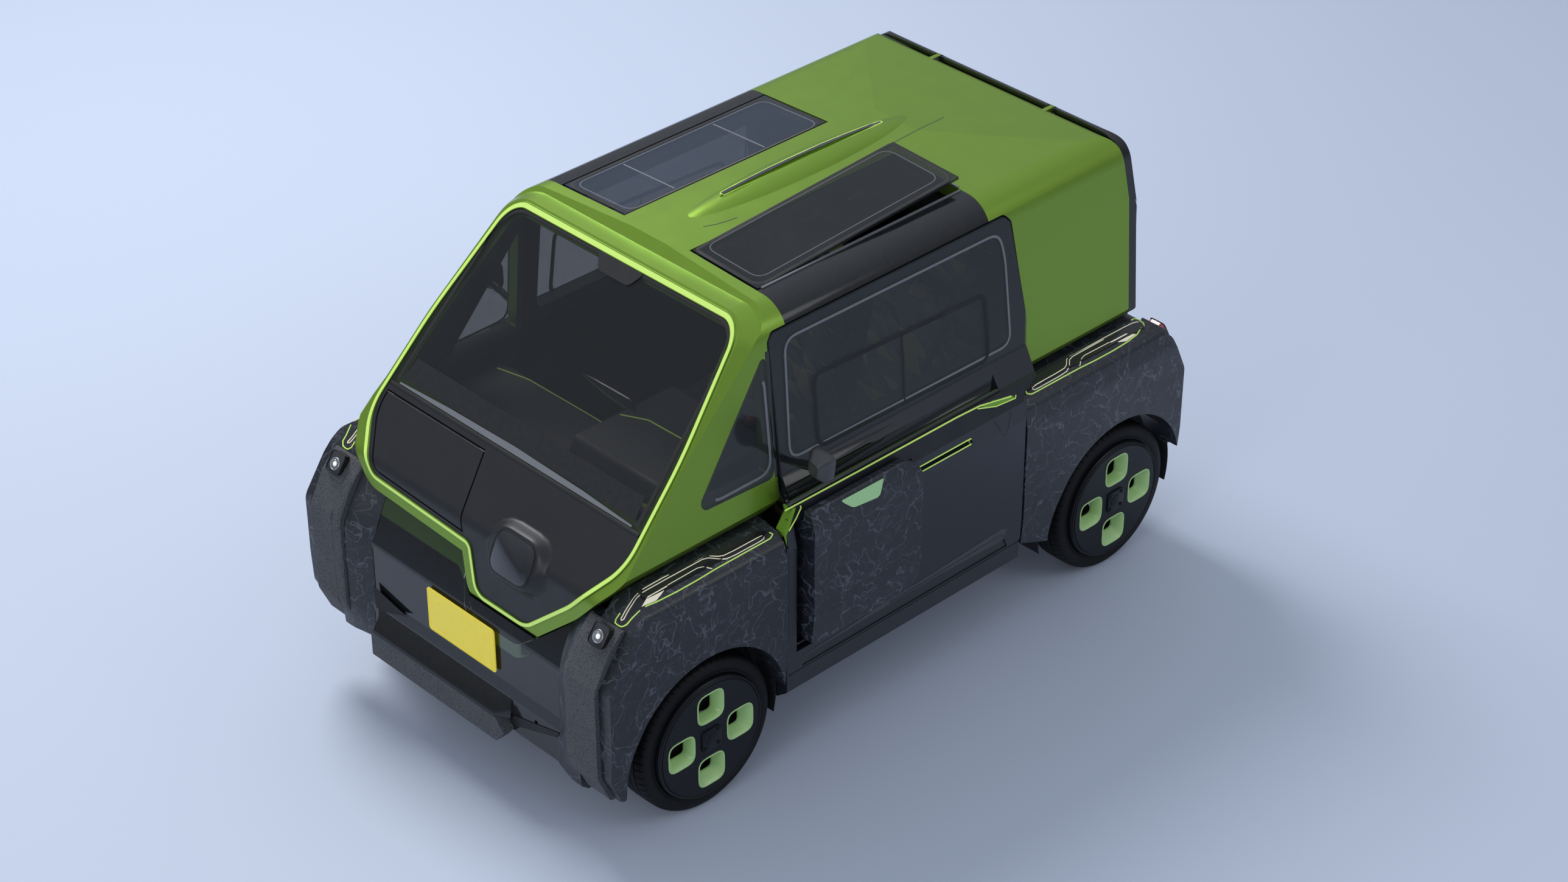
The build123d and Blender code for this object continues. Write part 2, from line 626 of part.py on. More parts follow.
def battery():
    top = FLOOR_Z - FLOOR_THICKNESS
    return block((-BATTERY_HALF, BATTERY_HALF), (BATTERY_FRONT_Y, BATTERY_REAR_Y),
                 (top - BATTERY_HEIGHT, top))


def front_axle():
    """Subframe with a motor, and the forked arms that hold the kingpins."""
    y, z = FRONT_AXLE_Y, TYRE_RADIUS
    floor = FLOOR_Z - 12
    body = block((-440, 440), (y - 55, y + 55), (floor - 60, floor - SEAT_GAP))
    ear = KNUCKLE_HEIGHT / 2 + 2
    arms = None
    for level in (ear, -ear - 22):
        arm = block((430, KINGPIN_X + 18), (y - 26, y + 26), (z + level, z + level + 22))
        arms = arm if arms is None else arms + arm
    tower = block((STEER_ROOM_X + 2, 440), (y - 40, y + 40), (floor - 60, z + ear + 22))
    fork = tower + arms
    fork -= rod((KINGPIN_X, y, z - 200), (KINGPIN_X, y, z + 200), KINGPIN_RADIUS + RUNNING_GAP)
    return body + both_sides(fork)


def knuckle():
    """Left front upright with its kingpin stubs and wheel spindle."""
    y, z = FRONT_AXLE_Y, TYRE_RADIUS
    half = KNUCKLE_HEIGHT / 2
    upright = block((KINGPIN_X - 20, KINGPIN_X + 20), (y - 24, y + 24), (z - half, z + half))
    pin = rod((KINGPIN_X, y, z - half - 22), (KINGPIN_X, y, z + half + 22), KINGPIN_RADIUS)
    spindle = rod((KINGPIN_X, y, z), (WHEEL_FACE_X - 34, y, z), SPINDLE_RADIUS)
    return upright + pin + spindle


def rear_axle():
    """Trailing beam with the drive unit, its arms and the rear spindles."""
    y, z = REAR_AXLE_Y, TYRE_RADIUS
    end = TYRE_X - TYRE_WIDTH / 2 + 30
    beam = block((-end, end), (y - 32, y + 32), (z - 32, z + 32))
    unit = rod((-150, y, z), (150, y, z), 92)
    arm = block((330, 380), (BULKHEAD_Y, y), (z - 45, z - 5))
    spindle = rod((end - 10, y, z), (WHEEL_FACE_X - 34, y, z), SPINDLE_RADIUS)
    return beam + unit + both_sides(arm + spindle)


def wheel():
    """Wheel for the left side with its axis at the origin: rim, disc, hub."""
    inner = -TYRE_WIDTH / 2
    face = TYRE_WIDTH / 2 + DISC_PROUD
    barrel = rod((inner, 0, 0), (TYRE_WIDTH / 2 + 2, 0, 0), RIM_RADIUS)
    barrel -= rod((inner - 1, 0, 0), (face - DISC_THICKNESS, 0, 0), RIM_RADIUS - RIM_WALL)
    disc = extrude(Plane(origin=(face - DISC_THICKNESS, 0, 0), x_dir=(0, 1, 0), z_dir=(1, 0, 0))
                   * Circle(RIM_RADIUS - 1), DISC_THICKNESS)
    disc = chamfer(disc.edges().group_by(Axis.X)[-1], 9)
    body = barrel + disc
    mouth = fillet(Rectangle(WINDOW_SIZE, WINDOW_SIZE).vertices(), 30)
    throat = fillet(Rectangle(WINDOW_HOLE, WINDOW_HOLE).vertices(), 18)
    front = Plane(origin=(face, WINDOW_RING, 0), x_dir=(0, 1, 0), z_dir=(1, 0, 0))
    back = Plane(origin=(face - WINDOW_DEPTH, WINDOW_RING - WINDOW_SHIFT, 0), x_dir=(0, 1, 0),
                 z_dir=(1, 0, 0))
    flange = loft([front * mouth, back * throat])
    hole = extrude(back * throat, -200)
    for turn in (0, 90, 180, 270):
        body -= Rot(turn, 0, 0) * (flange + hole)
    hub_start = KINGPIN_X + 26 - TYRE_X
    body += rod((hub_start, 0, 0), (face - 6, 0, 0), HUB_RADIUS)
    body -= rod((hub_start - 1, 0, 0), (WHEEL_FACE_X - 30 - TYRE_X, 0, 0),
                SPINDLE_RADIUS + RUNNING_GAP)
    return body


def tyre():
    """Tyre with its axis along X at the origin, shoulders as flats."""
    half = TYRE_WIDTH / 2
    bead = RIM_RADIUS + SEAT_GAP
    outline = [
        (-half + 8, bead), (-half, bead + 14), (-half, TYRE_RADIUS - 24),
        (-half + 8, TYRE_RADIUS - 6), (-half + 20, TYRE_RADIUS), (half - 20, TYRE_RADIUS),
        (half - 8, TYRE_RADIUS - 6), (half, TYRE_RADIUS - 24), (half, bead + 14), (half - 8, bead),
    ]
    return revolve(make_face(Polyline(*outline, close=True)), Axis.X)


def fender_outline(front, grow=0):
    """Side view of a fender in (y, z), without its arch."""
    axle = FRONT_AXLE_Y if front else REAR_AXLE_Y
    top = FENDER_CROWN_Z
    if front:
        face = ring([
            (DOOR_FRONT_Y - SEAM, top, 0), (DOOR_FRONT_Y - SEAM, FENDER_LOW_Z + 60, 10),
            (axle + 250, FENDER_LOW_Z, 10), (axle - 340, FENDER_LOW_Z - 40, 10),
            (NOSE_Y + 62, FENDER_LOW_Z - 40, 20), (NOSE_Y + PAD_THICKNESS - 30, 330, 40),
            (NOSE_Y + PAD_THICKNESS - 30, 640, 60), (NOSE_Y + 125, 800, 60), (NOSE_Y + 200, top, 60),
        ])
    else:
        face = ring([
            (DOOR_REAR_Y + SEAM, top, 0), (DOOR_REAR_Y + SEAM, FENDER_LOW_Z + 60, 10),
            (axle - 290, FENDER_LOW_Z - 20, 10), (axle + 240, FENDER_LOW_Z - 20, 10),
            (TAIL_Y - 40, FENDER_LOW_Z, 20), (TAIL_Y - 16, 360, 40),
            (TAIL_Y - 16, 660, 60), (TAIL_Y - 80, 800, 60), (TAIL_Y - 160, top, 60),
        ])
    return offset(face, amount=grow) if grow else face


def fender_block(front):
    """Outer form of the left fender, before it is hollowed."""
    lean = ring([
        (FENDER_INNER_X, 0), (672, 0), (690, 300), (SIDE_X, 430, 300), (SIDE_X, 760, 90),
        (686, FENDER_TOP_Z - 24, 34), (655, FENDER_TOP_Z, 40), (600, FENDER_CROWN_Z),
        (FENDER_INNER_X, FENDER_CROWN_Z),
    ])
    return prism_x(fender_outline(front), FENDER_INNER_X, SIDE_X) & prism_y(lean, -1400, 1400)


def fender(front):
    """Left fender, hollow round the tyre."""
    axle = FRONT_AXLE_Y if front else REAR_AXLE_Y
    face = fender_outline(front)
    body = fender_block(front)
    hollow = prism_x(offset(face, amount=-FENDER_SKIN), FENDER_INNER_X - 1, SIDE_X - FENDER_SKIN - 8)
    body -= hollow
    body -= wheel_room(axle, FENDER_INNER_X - 1, ARCH_RADIUS)
    for drop in (0, -SEAM):
        body -= Pos(0, drop, drop) * CAPSULE
    return body - hinge_rod(SEAT_GAP)


def front_pad(x_low, x_high):
    """Foam pad on the nose of a fender."""
    back = NOSE_Y + PAD_THICKNESS - 30 - SEAT_GAP
    face = ring([
        (NOSE_Y + 110, 800, 10), (NOSE_Y + 55, 745, 20), (NOSE_Y, 640, 40), (NOSE_Y, 330, 60),
        (NOSE_Y + 46, 226, 20), (back + 60, 226),
        (back, 330), (back, 640), (back + 105, 795),
    ])
    return prism_x(face - fender_outline(True, SEAT_GAP), x_low, x_high)


def front_foam():
    """Foam pads on both front fenders and the bumper strip between them."""
    pad = front_pad(FENDER_INNER_X, PAD_OUTER_X) - lamp_pocket(True, SEAT_GAP)
    strip = ring([(-400, 205), (190, 205, 20), (225, 250), (190, 290, 10), (-400, 290, 10)])
    strip = prism_y(strip, NOSE_Y + 4, NOSE_LOW_Y - SEAT_GAP)
    return both_sides(pad) + strip


def rear_pad(x_low, x_high):
    """Foam pad on the tail of a rear fender."""
    back = TAIL_Y - 16 + SEAT_GAP
    face = ring([
        (back, 345), (back, 665), (back - 60, 795), (TAIL_Y - 66, 806, 3), (TAIL_Y - 30, 745, 20),
        (TAIL_Y, 640, 40), (TAIL_Y, 345, 8),
    ])
    return prism_x(face - fender_outline(False, SEAT_GAP), x_low, x_high)


def rear_foam():
    """Foam pads on both rear fenders and the rear bumper strip between them."""
    pad = rear_pad(FENDER_INNER_X, PAD_OUTER_X) - lamp_pocket(False, SEAT_GAP)
    strip = ring([(-420, 300), (420, 300), (420, 400, 10), (-420, 400, 10)])
    strip = prism_y(strip, REAR_PANEL_Y + SEAT_GAP, TAIL_Y - 10)
    return both_sides(pad) + strip


def lamp_pocket(front, grow=0):
    """Tilted lens block of the left headlamp or tail lamp, or its pocket."""
    place = (Pos(LAMP_X, NOSE_Y + 78, 775) * Rot(55, 0, 0) if front
             else Pos(LAMP_X, TAIL_Y - 44, 770) * Rot(-62, 0, 0))
    lens = fillet(Rectangle(60 + 2 * grow, 66 + 2 * grow).vertices(), 14)
    return place * Pos(0, 0, -22 - grow) * extrude(lens, 34 + grow)


def headlamps():
    return both_sides(lamp_pocket(True) - prism_x(fender_outline(True, SEAT_GAP), 300, 800))


def tail_lamps():
    return both_sides(lamp_pocket(False) - prism_x(fender_outline(False, SEAT_GAP), 300, 800))


def fender_lights():
    """Light bars let into the tops of the four fenders."""
    bars = []
    for front, low, high in ((True, NOSE_Y + 205, DOOR_FRONT_Y - 40),
                             (False, DOOR_REAR_Y + 40, TAIL_Y - 170)):
        wide = ring([(BELT_HALF + 6, low, 12), (646, low, 12), (652, high, 8), (626, high, 8)])
        top = fender_block(front)
        bar = Pos(0, 0, LIGHT_BAR) * top - Pos(0, 0, SEAT_GAP) * top
        bars.append(bar & prism_z(wide, FENDER_TOP_Z - 20, FENDER_CROWN_Z + 20))
    return both_sides(bars[0] + bars[1])


def nose_panel():
    """Black panel under the mask, between the nose pads."""
    back = TUB_FRONT_Y - SEAT_GAP
    face = ring([
        (back, 740), (back - 12, 745, 8), (NOSE_PLATE_Y, 575, 30), (NOSE_PLATE_Y, 395, 10),
        (NOSE_LOW_Y, TOW_Z + 30, 10), (NOSE_LOW_Y, 235, 20), (NOSE_LOW_Y + 50, 205, 10), (back, 205),
    ])
    panel = prism_x(face, -FENDER_INNER_X + 6, FENDER_INNER_X - 6)
    for drop in (0, -SEAM):
        panel -= Pos(0, drop, drop) * CAPSULE
    panel -= wheel_room(FRONT_AXLE_Y, STEER_ROOM_X, ARCH_RADIUS + 8)
    for x in (-PLATE_BOLTS / 2, PLATE_BOLTS / 2):
        panel -= rod((x, NOSE_Y, PLATE_Z + 40), (x, NOSE_PLATE_Y + 20, PLATE_Z + 40), 3)
    panel -= rod((TOW_X, NOSE_Y, TOW_Z), (TOW_X, NOSE_LOW_Y + TOW_DEPTH, TOW_Z), TOW_RADIUS)
    return panel


def number_plate():
    """Blank plate with its two bolt holes."""
    face = fillet(Rectangle(PLATE_WIDTH, PLATE_HEIGHT).vertices(), 12)
    y = NOSE_PLATE_Y - PLATE_STANDOFF
    plate = Pos(0, y, PLATE_Z) * Rot(90, 0, 0) * extrude(face, 3)
    for x in (-PLATE_BOLTS / 2, PLATE_BOLTS / 2):
        plate += rod((x, y, PLATE_Z + 40), (x, NOSE_PLATE_Y - SEAT_GAP, PLATE_Z + 40), 9)
        plate -= rod((x, NOSE_Y - 50, PLATE_Z + 40), (x, TUB_FRONT_Y, PLATE_Z + 40), 3)
    return plate


def rear_panel():
    """Dark panel below the tailgate, between the rear fenders."""
    front = TUB_REAR_Y + SEAT_GAP
    top = SHELL_REAR_BOTTOM_Z - SEAM - 4
    face = ring([(front, 250), (front + 30, 250, 10), (REAR_PANEL_Y, 300, 10),
                 (REAR_PANEL_Y, 640, 60), (front + 20, top, 8), (front, top)])
    panel = prism_x(face, -FENDER_INNER_X + 6, FENDER_INNER_X - 6)
    for drop in (0, -SEAM):
        panel -= Pos(0, -drop, drop) * CAPSULE
    return panel - wheel_room(REAR_AXLE_Y, REAR_HOUSE_X, ARCH_RADIUS + 8)


# ---- doors ---------------------------------------------------------------------------
def hinge_rod(gap=0):
    """Upright hinge rod of the left door, in the seam behind the fender."""
    y = DOOR_FRONT_Y - SEAM / 2
    return rod((HINGE_X, y, SILL_LOW_Z + 10), (HINGE_X, y, FENDER_TOP_Z - 40), HINGE_RADIUS + gap)


def door_slab(inset, depth, outline):
    """Left door layer: its section along the car, cut to a side outline."""
    body = prism_y(door_section(inset, depth), -900, 900)
    return body & prism_x(outline, 300, 900)


def window_outline(shrink=0):
    """Clear opening of the door window in (y, z)."""
    face = ring([
        (DOOR_FRONT_TOP_Y + FRAME_WIDTH, DOOR_GLASS_Z + 40, 30), (510, DOOR_GLASS_Z + 40, 30),
        (522, 1090, 60), (480, DOOR_TOP_Z - FRAME_WIDTH, 40),
        (DOOR_FRONT_TOP_Y + FRAME_WIDTH, DOOR_TOP_Z - FRAME_WIDTH, 40),
    ])
    return offset(face, amount=-shrink) if shrink else face


def glass_zone(grow=0):
    low = DOOR_GLASS_Z - grow
    above = ring([(-900, low), (900, low), (900, 1600), (-900, 1600)])
    return door_outline(0) & above


def door_panel():
    """Left door: lower skin, belt channel and the frame behind the glass."""
    body = door_slab(0, DOOR_RABBET, door_outline())
    body += door_slab(DOOR_RABBET, DOOR_THICKNESS - DOOR_RABBET, door_outline(-SEAM - 1))
    body -= door_slab(-2, GLASS + 2 + SEAT_GAP, glass_zone(SEAT_GAP))
    body -= hinge_rod(RUNNING_GAP)
    body -= prism_x(window_outline(), 300, 900)
    # pocket of the storage bin and the hand slot in front of it
    pocket = block((BIN_FACE_X - BIN_DEPTH - SEAM, 900), (BIN_FRONT_Y - BIN_SLOT, BIN_REAR_Y + SEAM),
                   (BIN_LOW_Z - 2 * SEAM, BIN_MOUTH_Z + SEAM + 1))
    body -= pocket
    # belt channel with its tube bar, and the recess low on the door
    channel = ring([(DOOR_BELT_X - 9, DOOR_BELT_Z + 20), (DOOR_BELT_X - 12, CHANNEL_Z),
                    (DOOR_BELT_X - 36, CHANNEL_Z), (DOOR_BELT_X - 44, DOOR_GLASS_Z - 28)])
    body -= prism_y(channel, CHANNEL_FRONT_Y, CHANNEL_REAR_Y)
    body += rod((BAR_X, CHANNEL_FRONT_Y - 10, BAR_Z), (BAR_X, CHANNEL_REAR_Y + 10, BAR_Z), BAR_RADIUS)
    crease = ring([(BIN_FRONT_Y - 8, DOOR_SILL_Z + 6), (DOOR_REAR_Y - 60, DOOR_SILL_Z + 6),
                   (DOOR_REAR_Y - 84, CREASE_Z + 22), (BIN_FRONT_Y + 24, CREASE_Z)])
    body -= prism_x(crease, DOOR_WIDEST_X - 7, 900)
    # handle slot
    body -= block((DOOR_WIDEST_X - 16, 900), (0, 240), (HANDLE_SLOT_Z - 7, HANDLE_SLOT_Z + 7))
    # bin hinge pin
    body += rod((BIN_PIN_X, BIN_FRONT_Y - BIN_SLOT - 8, BIN_PIN_Z),
                (BIN_PIN_X, BIN_REAR_Y + SEAM + 8, BIN_PIN_Z), 4)
    return body


def door_glass():
    return door_slab(0, GLASS, glass_zone())


def storage_bin():
    """Tilting storage bin in the left door, its mouth under the belt."""
    inner_x = BIN_FACE_X - BIN_DEPTH
    face = ring([(BIN_FRONT_Y, BIN_LOW_Z, 34), (BIN_REAR_Y, BIN_LOW_Z, 74),
                 (BIN_REAR_Y, BIN_HIGH_Z, 74), (BIN_FRONT_Y, BIN_HIGH_Z, 12)])
    profile = ring([
        (inner_x, BIN_LOW_Z, 10), (BIN_FACE_X - 14, BIN_LOW_Z, 14), (BIN_FACE_X, BIN_LOW_Z + 110, 90),
        (BIN_FACE_X, BIN_HIGH_Z - 60, 60), (BIN_FACE_X - 19, BIN_HIGH_Z, 8),
        (BIN_FACE_X - 44, BIN_HIGH_Z, 4), (BIN_FACE_X - 48, BIN_MOUTH_Z), (inner_x, BIN_MOUTH_Z),
    ])
    body = prism_x(face, inner_x, BIN_FACE_X) & prism_y(profile, BIN_FRONT_Y, BIN_REAR_Y)
    body -= block((inner_x + BIN_WALL, BIN_FACE_X - BIN_WALL - 9),
                  (BIN_FRONT_Y + BIN_WALL + 20, BIN_REAR_Y - BIN_WALL - 40),
                  (BIN_LOW_Z + 30, BIN_MOUTH_Z + 10))
    body -= block((inner_x, BIN_FACE_X - 48), (BIN_FRONT_Y, BIN_REAR_Y), (BIN_MOUTH_Z, BIN_HIGH_Z))
    body -= rod((BIN_PIN_X, -900, BIN_PIN_Z), (BIN_PIN_X, 900, BIN_PIN_Z), 4 + RUNNING_GAP)
    return body


def door_mirror():
    """Left door mirror: foot on the door, arm and housing."""
    foot = Pos(604, -440, 1030) * Box(30, 50, 60)
    foot -= door_slab(-1, DOOR_THICKNESS, door_outline())
    arm = rod((606, -440, 1040), (715, -450, 1042), 11)
    arm -= door_slab(-1, DOOR_THICKNESS, door_outline())
    housing = Pos(738, -448, 1060) * Box(86, 52, 104)
    housing = fillet(housing.edges(), 14)
    return foot + arm + housing


# ---- cabin fittings ------------------------------------------------------------------
COLUMN = Vector(0, cos(radians(WHEEL_TILT)), sin(radians(WHEEL_TILT)))
STEERING_CENTRE = Vector(SEAT_X, STEERING_Y, STEERING_Z)


def dashboard():
    """Dashboard across the cabin with the hood and the steering column's tube."""
    half = TUB_HALF - TUB_WALL - SEAT_GAP
    front = -890
    face = ring([(front, 700), (front, DASH_TOP_Z, 20), (DASH_REAR_Y, DASH_TOP_Z, 30),
                 (DASH_REAR_Y - 10, 800, 30), (-690, 700, 20)])
    body = prism_x(face, -half, half)
    hood = ring([(front + 60, DASH_TOP_Z - 10), (front + 110, HOOD_TOP_Z, 20),
                 (HOOD_REAR_Y, HOOD_TOP_Z, 20), (HOOD_REAR_Y - 60, 850, 40),
                 (DASH_REAR_Y - 40, 800), (DASH_REAR_Y - 40, DASH_TOP_Z - 10)])
    body += prism_x(hood, HOOD_INNER_X, 2 * SEAT_X - HOOD_INNER_X)
    end = STEERING_CENTRE - COLUMN * 60
    start = STEERING_CENTRE - COLUMN * 240
    body += rod(start, end, 30)
    body -= rod(start, end + COLUMN, 12 + RUNNING_GAP)
    return body


def steering_wheel():
    """Ring, two spokes, hub and the shaft that turns in the column."""
    plane = Plane(origin=STEERING_CENTRE, x_dir=(1, 0, 0), z_dir=COLUMN)
    body = plane * Torus(STEERING_RADIUS, 14)
    body += plane * Pos(0, 0, -8) * Cylinder(44, 40)
    body += plane * Box(2 * STEERING_RADIUS, 34, 14)
    body += rod(STEERING_CENTRE - COLUMN * 200, STEERING_CENTRE, 12)
    return body


def seat_frames():
    """Plinths between floor and cushions, with the panels behind the seat backs."""
    half = SEAT_WIDTH / 2 - 40
    plinth = block((SEAT_X - half, SEAT_X + half),
                   (SEAT_FRONT_Y + 40, DOOR_REAR_Y - 20 - SEAT_GAP),
                   (FLOOR_Z, SEAT_Z - CUSHION - SEAT_GAP))
    panel = block((-half, half), (CUSHION / 2 + SEAT_GAP, CUSHION / 2 + 22), (-60, 420))
    return both_sides(plinth + seat_back_place() * panel)


def seat_back_place():
    return Pos(SEAT_X, SEAT_BACK_Y + 22, SEAT_Z - 60) * Rot(-BACK_LEAN, 0, 0)


def seat_cushions():
    face = ring([(SEAT_FRONT_Y, SEAT_Z - CUSHION, 20), (SEAT_FRONT_Y, SEAT_Z + 10, 35),
                 (SEAT_BACK_Y - 60, SEAT_Z - 10, 10), (SEAT_BACK_Y - 40, SEAT_Z - CUSHION, 10)])
    pad = prism_x(face, SEAT_X - SEAT_WIDTH / 2, SEAT_X + SEAT_WIDTH / 2)
    return both_sides(pad)


def seat_backs():
    """Seat backs with their headrests."""
    width = SEAT_WIDTH / 2
    back = block((-width, width), (-CUSHION / 2, CUSHION / 2), (0, 620))
    back = fillet(back.edges(), 25)
    rest = block((-120, 120), (-38, 38), (630, 800))
    rest = fillet(rest.edges(), 25)
    rest += block((-60, 60), (-10, 10), (600, 640))
    return both_sides(seat_back_place() * (back + rest))


# ---- assembly ------------------------------------------------------------------------
def main():
    os.makedirs("parts", exist_ok=True)
    export("cabin_shell", cabin_shell())
    export("windscreen", windscreen())
    export("front_mask", front_mask())
    export("mask_trim", mask_trim())
    export("mask_lid", mask_lid())
    export("quarter_glasses", quarter_glasses())
    export("roof_rails", roof_rails())
    export("chassis_tub", chassis_tub())
    export("sills", sills())
    export("battery", battery())
    export("front_axle", front_axle())
    export("rear_axle", rear_axle())
    export("front_foam", front_foam())
    hatch = roof_hatch()
    export("roof_hatch_right", mirrored(hatch))
    export("roof_hatch_left", hatch.rotate(hatch_axis(), HATCH_REST_ANGLE))
    export("tailgate", tailgate())
    export("rear_foam", rear_foam())
    export("headlamps", headlamps())
    export("tail_lamps", tail_lamps())
    export("fender_lights", fender_lights())
    export("nose_panel", nose_panel())
    export("number_plate", number_plate())
    export("rear_panel", rear_panel())
    for name, make in (("door_panel", door_panel), ("door_glass", door_glass),
                       ("storage_bin", storage_bin), ("door_mirror", door_mirror)):
        left = make()
        export(f"{name}_left", left)
        export(f"{name}_right", mirrored(left))
    export("dashboard", dashboard())
    export("steering_wheel", steering_wheel())
    export("seat_frames", seat_frames())
    export("seat_cushions", seat_cushions())
    export("seat_backs", seat_backs())
    left_knuckle = knuckle()
    export("knuckle_left", left_knuckle)
    export("knuckle_right", mirrored(left_knuckle))
    for place, axle in (("front", FRONT_AXLE_Y), ("rear", REAR_AXLE_Y)):
        left_wheel = Pos(TYRE_X, axle, TYRE_RADIUS) * wheel()
        left_tyre = Pos(TYRE_X, axle, TYRE_RADIUS) * tyre()
        export(f"wheel_{place}_left", left_wheel)
        export(f"wheel_{place}_right", mirrored(left_wheel))
        export(f"tyre_{place}_left", left_tyre)
        export(f"tyre_{place}_right", mirrored(left_tyre))
        left_fender = fender(place == "front")
        export(f"fender_{place}_left", left_fender)
        export(f"fender_{place}_right", mirrored(left_fender))


main()
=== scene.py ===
"""Finishes, detail pieces and studio of the electric two-seat city car.

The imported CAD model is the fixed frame: every piece here takes its place from it, in
metres, with +Z up, the front of the car towards -Y and its left side towards +X.
"""

import json
import logging
import math
from dataclasses import dataclass
from enum import Enum
from typing import Callable, Iterable, Sequence

import bmesh
import bpy
from mathutils import Matrix, Vector
from mathutils.bvhtree import BVHTree

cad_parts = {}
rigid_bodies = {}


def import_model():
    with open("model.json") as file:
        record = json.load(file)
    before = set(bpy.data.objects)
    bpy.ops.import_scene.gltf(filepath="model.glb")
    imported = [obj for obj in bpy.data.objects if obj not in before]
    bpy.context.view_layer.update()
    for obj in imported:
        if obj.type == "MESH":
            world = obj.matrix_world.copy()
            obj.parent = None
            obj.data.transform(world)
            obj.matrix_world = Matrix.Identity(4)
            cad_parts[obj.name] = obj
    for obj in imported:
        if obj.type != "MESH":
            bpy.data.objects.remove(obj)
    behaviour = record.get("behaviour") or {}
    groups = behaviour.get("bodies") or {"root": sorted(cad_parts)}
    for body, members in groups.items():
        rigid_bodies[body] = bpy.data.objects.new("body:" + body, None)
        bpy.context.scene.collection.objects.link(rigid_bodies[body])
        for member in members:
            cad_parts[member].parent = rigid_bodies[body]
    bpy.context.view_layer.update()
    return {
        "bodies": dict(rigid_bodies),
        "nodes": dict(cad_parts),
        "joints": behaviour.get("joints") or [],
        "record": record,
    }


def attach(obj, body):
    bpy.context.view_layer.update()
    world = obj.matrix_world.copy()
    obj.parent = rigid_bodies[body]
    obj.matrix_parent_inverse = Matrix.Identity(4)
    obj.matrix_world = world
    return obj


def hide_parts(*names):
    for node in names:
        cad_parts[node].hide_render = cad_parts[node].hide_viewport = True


LOG = logging.getLogger("scene")
MM = 0.001
WELD = 0.02 * MM
SHEET_SINK = 0.8 * MM   # how far thin sheets reach into the surface that they lie on
X_AXIS, Y_AXIS, Z_AXIS = Vector((1, 0, 0)), Vector((0, 1, 0)), Vector((0, 0, 1))
AXLES = (("front", -820.0), ("rear", 960.0))
AXLE_Z = 257.0
Mesh = bmesh.types.BMesh
Piece = bpy.types.Object
Nodes = dict[str, Piece]
Tree = bpy.types.NodeTree
Node = bpy.types.Node
Socket = bpy.types.NodeSocket
Color = tuple[float, float, float]
Ring = Sequence[Vector]
Point = tuple[float, float]
Place = tuple[float, float, float]
Outline = tuple[Point, ...]


class Slot(Enum):
    """Material slots of the record."""

    GREEN = "body_green"
    LIME = "trim_lime"
    GLOSS = "black_gloss"
    GLASS = "dark_glass"
    ROOF_GLASS = "roof_glass"
    SATIN = "door_satin"
    MARBLED = "marbled"
    FOAM = "foam"
    TUB = "tub_black"
    PLATE = "plate_yellow"
    LAMP = "lamp"
    LIGHT_BAR = "light_bar"
    WHEEL = "wheel_dark"
    TYRE = "tyre"
    STEEL = "steel"
    BATTERY = "battery_case"
    INTERIOR = "interior"
    FABRIC = "seat_fabric"


class Pattern(Enum):
    """Surface structure that a finish shows."""

    FLAKE = "flake"
    MARBLE = "marble"
    PITTED = "pitted"
    GRAIN = "grain"
    WEAVE = "weave"
    BRUSHED = "brushed"
    GLASS = "glass"


@dataclass(frozen=True)
class Finish:
    """One surface finish.

    Attributes:
        name: Material name.
        slot: Record slot that the finish belongs to; not used.
        color: Main colour, linear RGB.
        accent: Second colour, which the pattern mixes in.
        roughness: Lowest and highest roughness over the surface.
        pattern: Structure of the surface.
        scale: Pattern repeats per metre, roughly.
        bump: Depth of the relief, metres.
        metallic: Metal share of the shader.
        coat: Weight of the clear coat.
        alpha: Opacity.
        glow: Emission strength, in the main colour: the light of a lamp, and painted light where the part is
            no lamp.
        shine: Specular level.
    """

    name: str
    slot: Slot
    color: Color
    accent: Color
    roughness: Point
    pattern: Pattern
    scale: float
    bump: float = 0.0
    metallic: float = 0.0
    coat: float = 0.0
    alpha: float = 1.0
    glow: float = 0.0
    shine: float = 0.5


PAINT = Finish("metallic_green", Slot.GREEN, (0.200, 0.345, 0.030), (0.225, 0.375, 0.038), (0.36, 0.39),
               Pattern.FLAKE, 900, metallic=0.75, coat=0.25)
# Dark green that stands in for light and shade: painted shade in the chin hollow and the roof creases, and a
# painted green glint on the belt bar.
SHADE_AND_GLINT_GREEN = Finish("painted_shade_and_glint_green", Slot.GREEN, (0.022, 0.050, 0.006), (0.030, 0.065, 0.009), (0.14, 0.2),
                    Pattern.GRAIN, 200, bump=0.00001, coat=0.8)
POCKET = Finish("pocket_green", Slot.GREEN, (0.17, 0.36, 0.03), (0.22, 0.44, 0.05), (0.15, 0.22),
                Pattern.GRAIN, 200, bump=0.00001, coat=0.8)
# The lime lines glow a little though they are no lamps: painted light.
LIME = Finish("lime_gloss", Slot.LIME, (0.55, 0.80, 0.16), (0.59, 0.83, 0.19), (0.34, 0.42),
              Pattern.GRAIN, 300, bump=0.00001, glow=0.25)
MINT = Finish("mint_tab", Slot.LIME, (0.40, 0.70, 0.32), (0.46, 0.76, 0.38), (0.3, 0.4),
              Pattern.GRAIN, 300, bump=0.00001)
GLOSS = Finish("piano_black", Slot.GLOSS, (0.011, 0.0115, 0.013), (0.015, 0.016, 0.018), (0.09, 0.14),
               Pattern.GRAIN, 60, coat=0.15, shine=0.42)
MASK = Finish("mask_satin", Slot.GLOSS, (0.017, 0.0175, 0.020), (0.021, 0.022, 0.025), (0.34, 0.42),
              Pattern.GRAIN, 1200, bump=0.00003, shine=0.35)
SCREEN = Finish("display_glass", Slot.GLOSS, (0.010, 0.011, 0.014), (0.014, 0.015, 0.019), (0.05, 0.1),
                Pattern.GRAIN, 60, bump=0.00001, coat=1.0)
GASKET = Finish("seal_rubber", Slot.TUB, (0.006, 0.006, 0.007), (0.012, 0.012, 0.013), (0.6, 0.75),
                Pattern.GRAIN, 500, bump=0.00006)
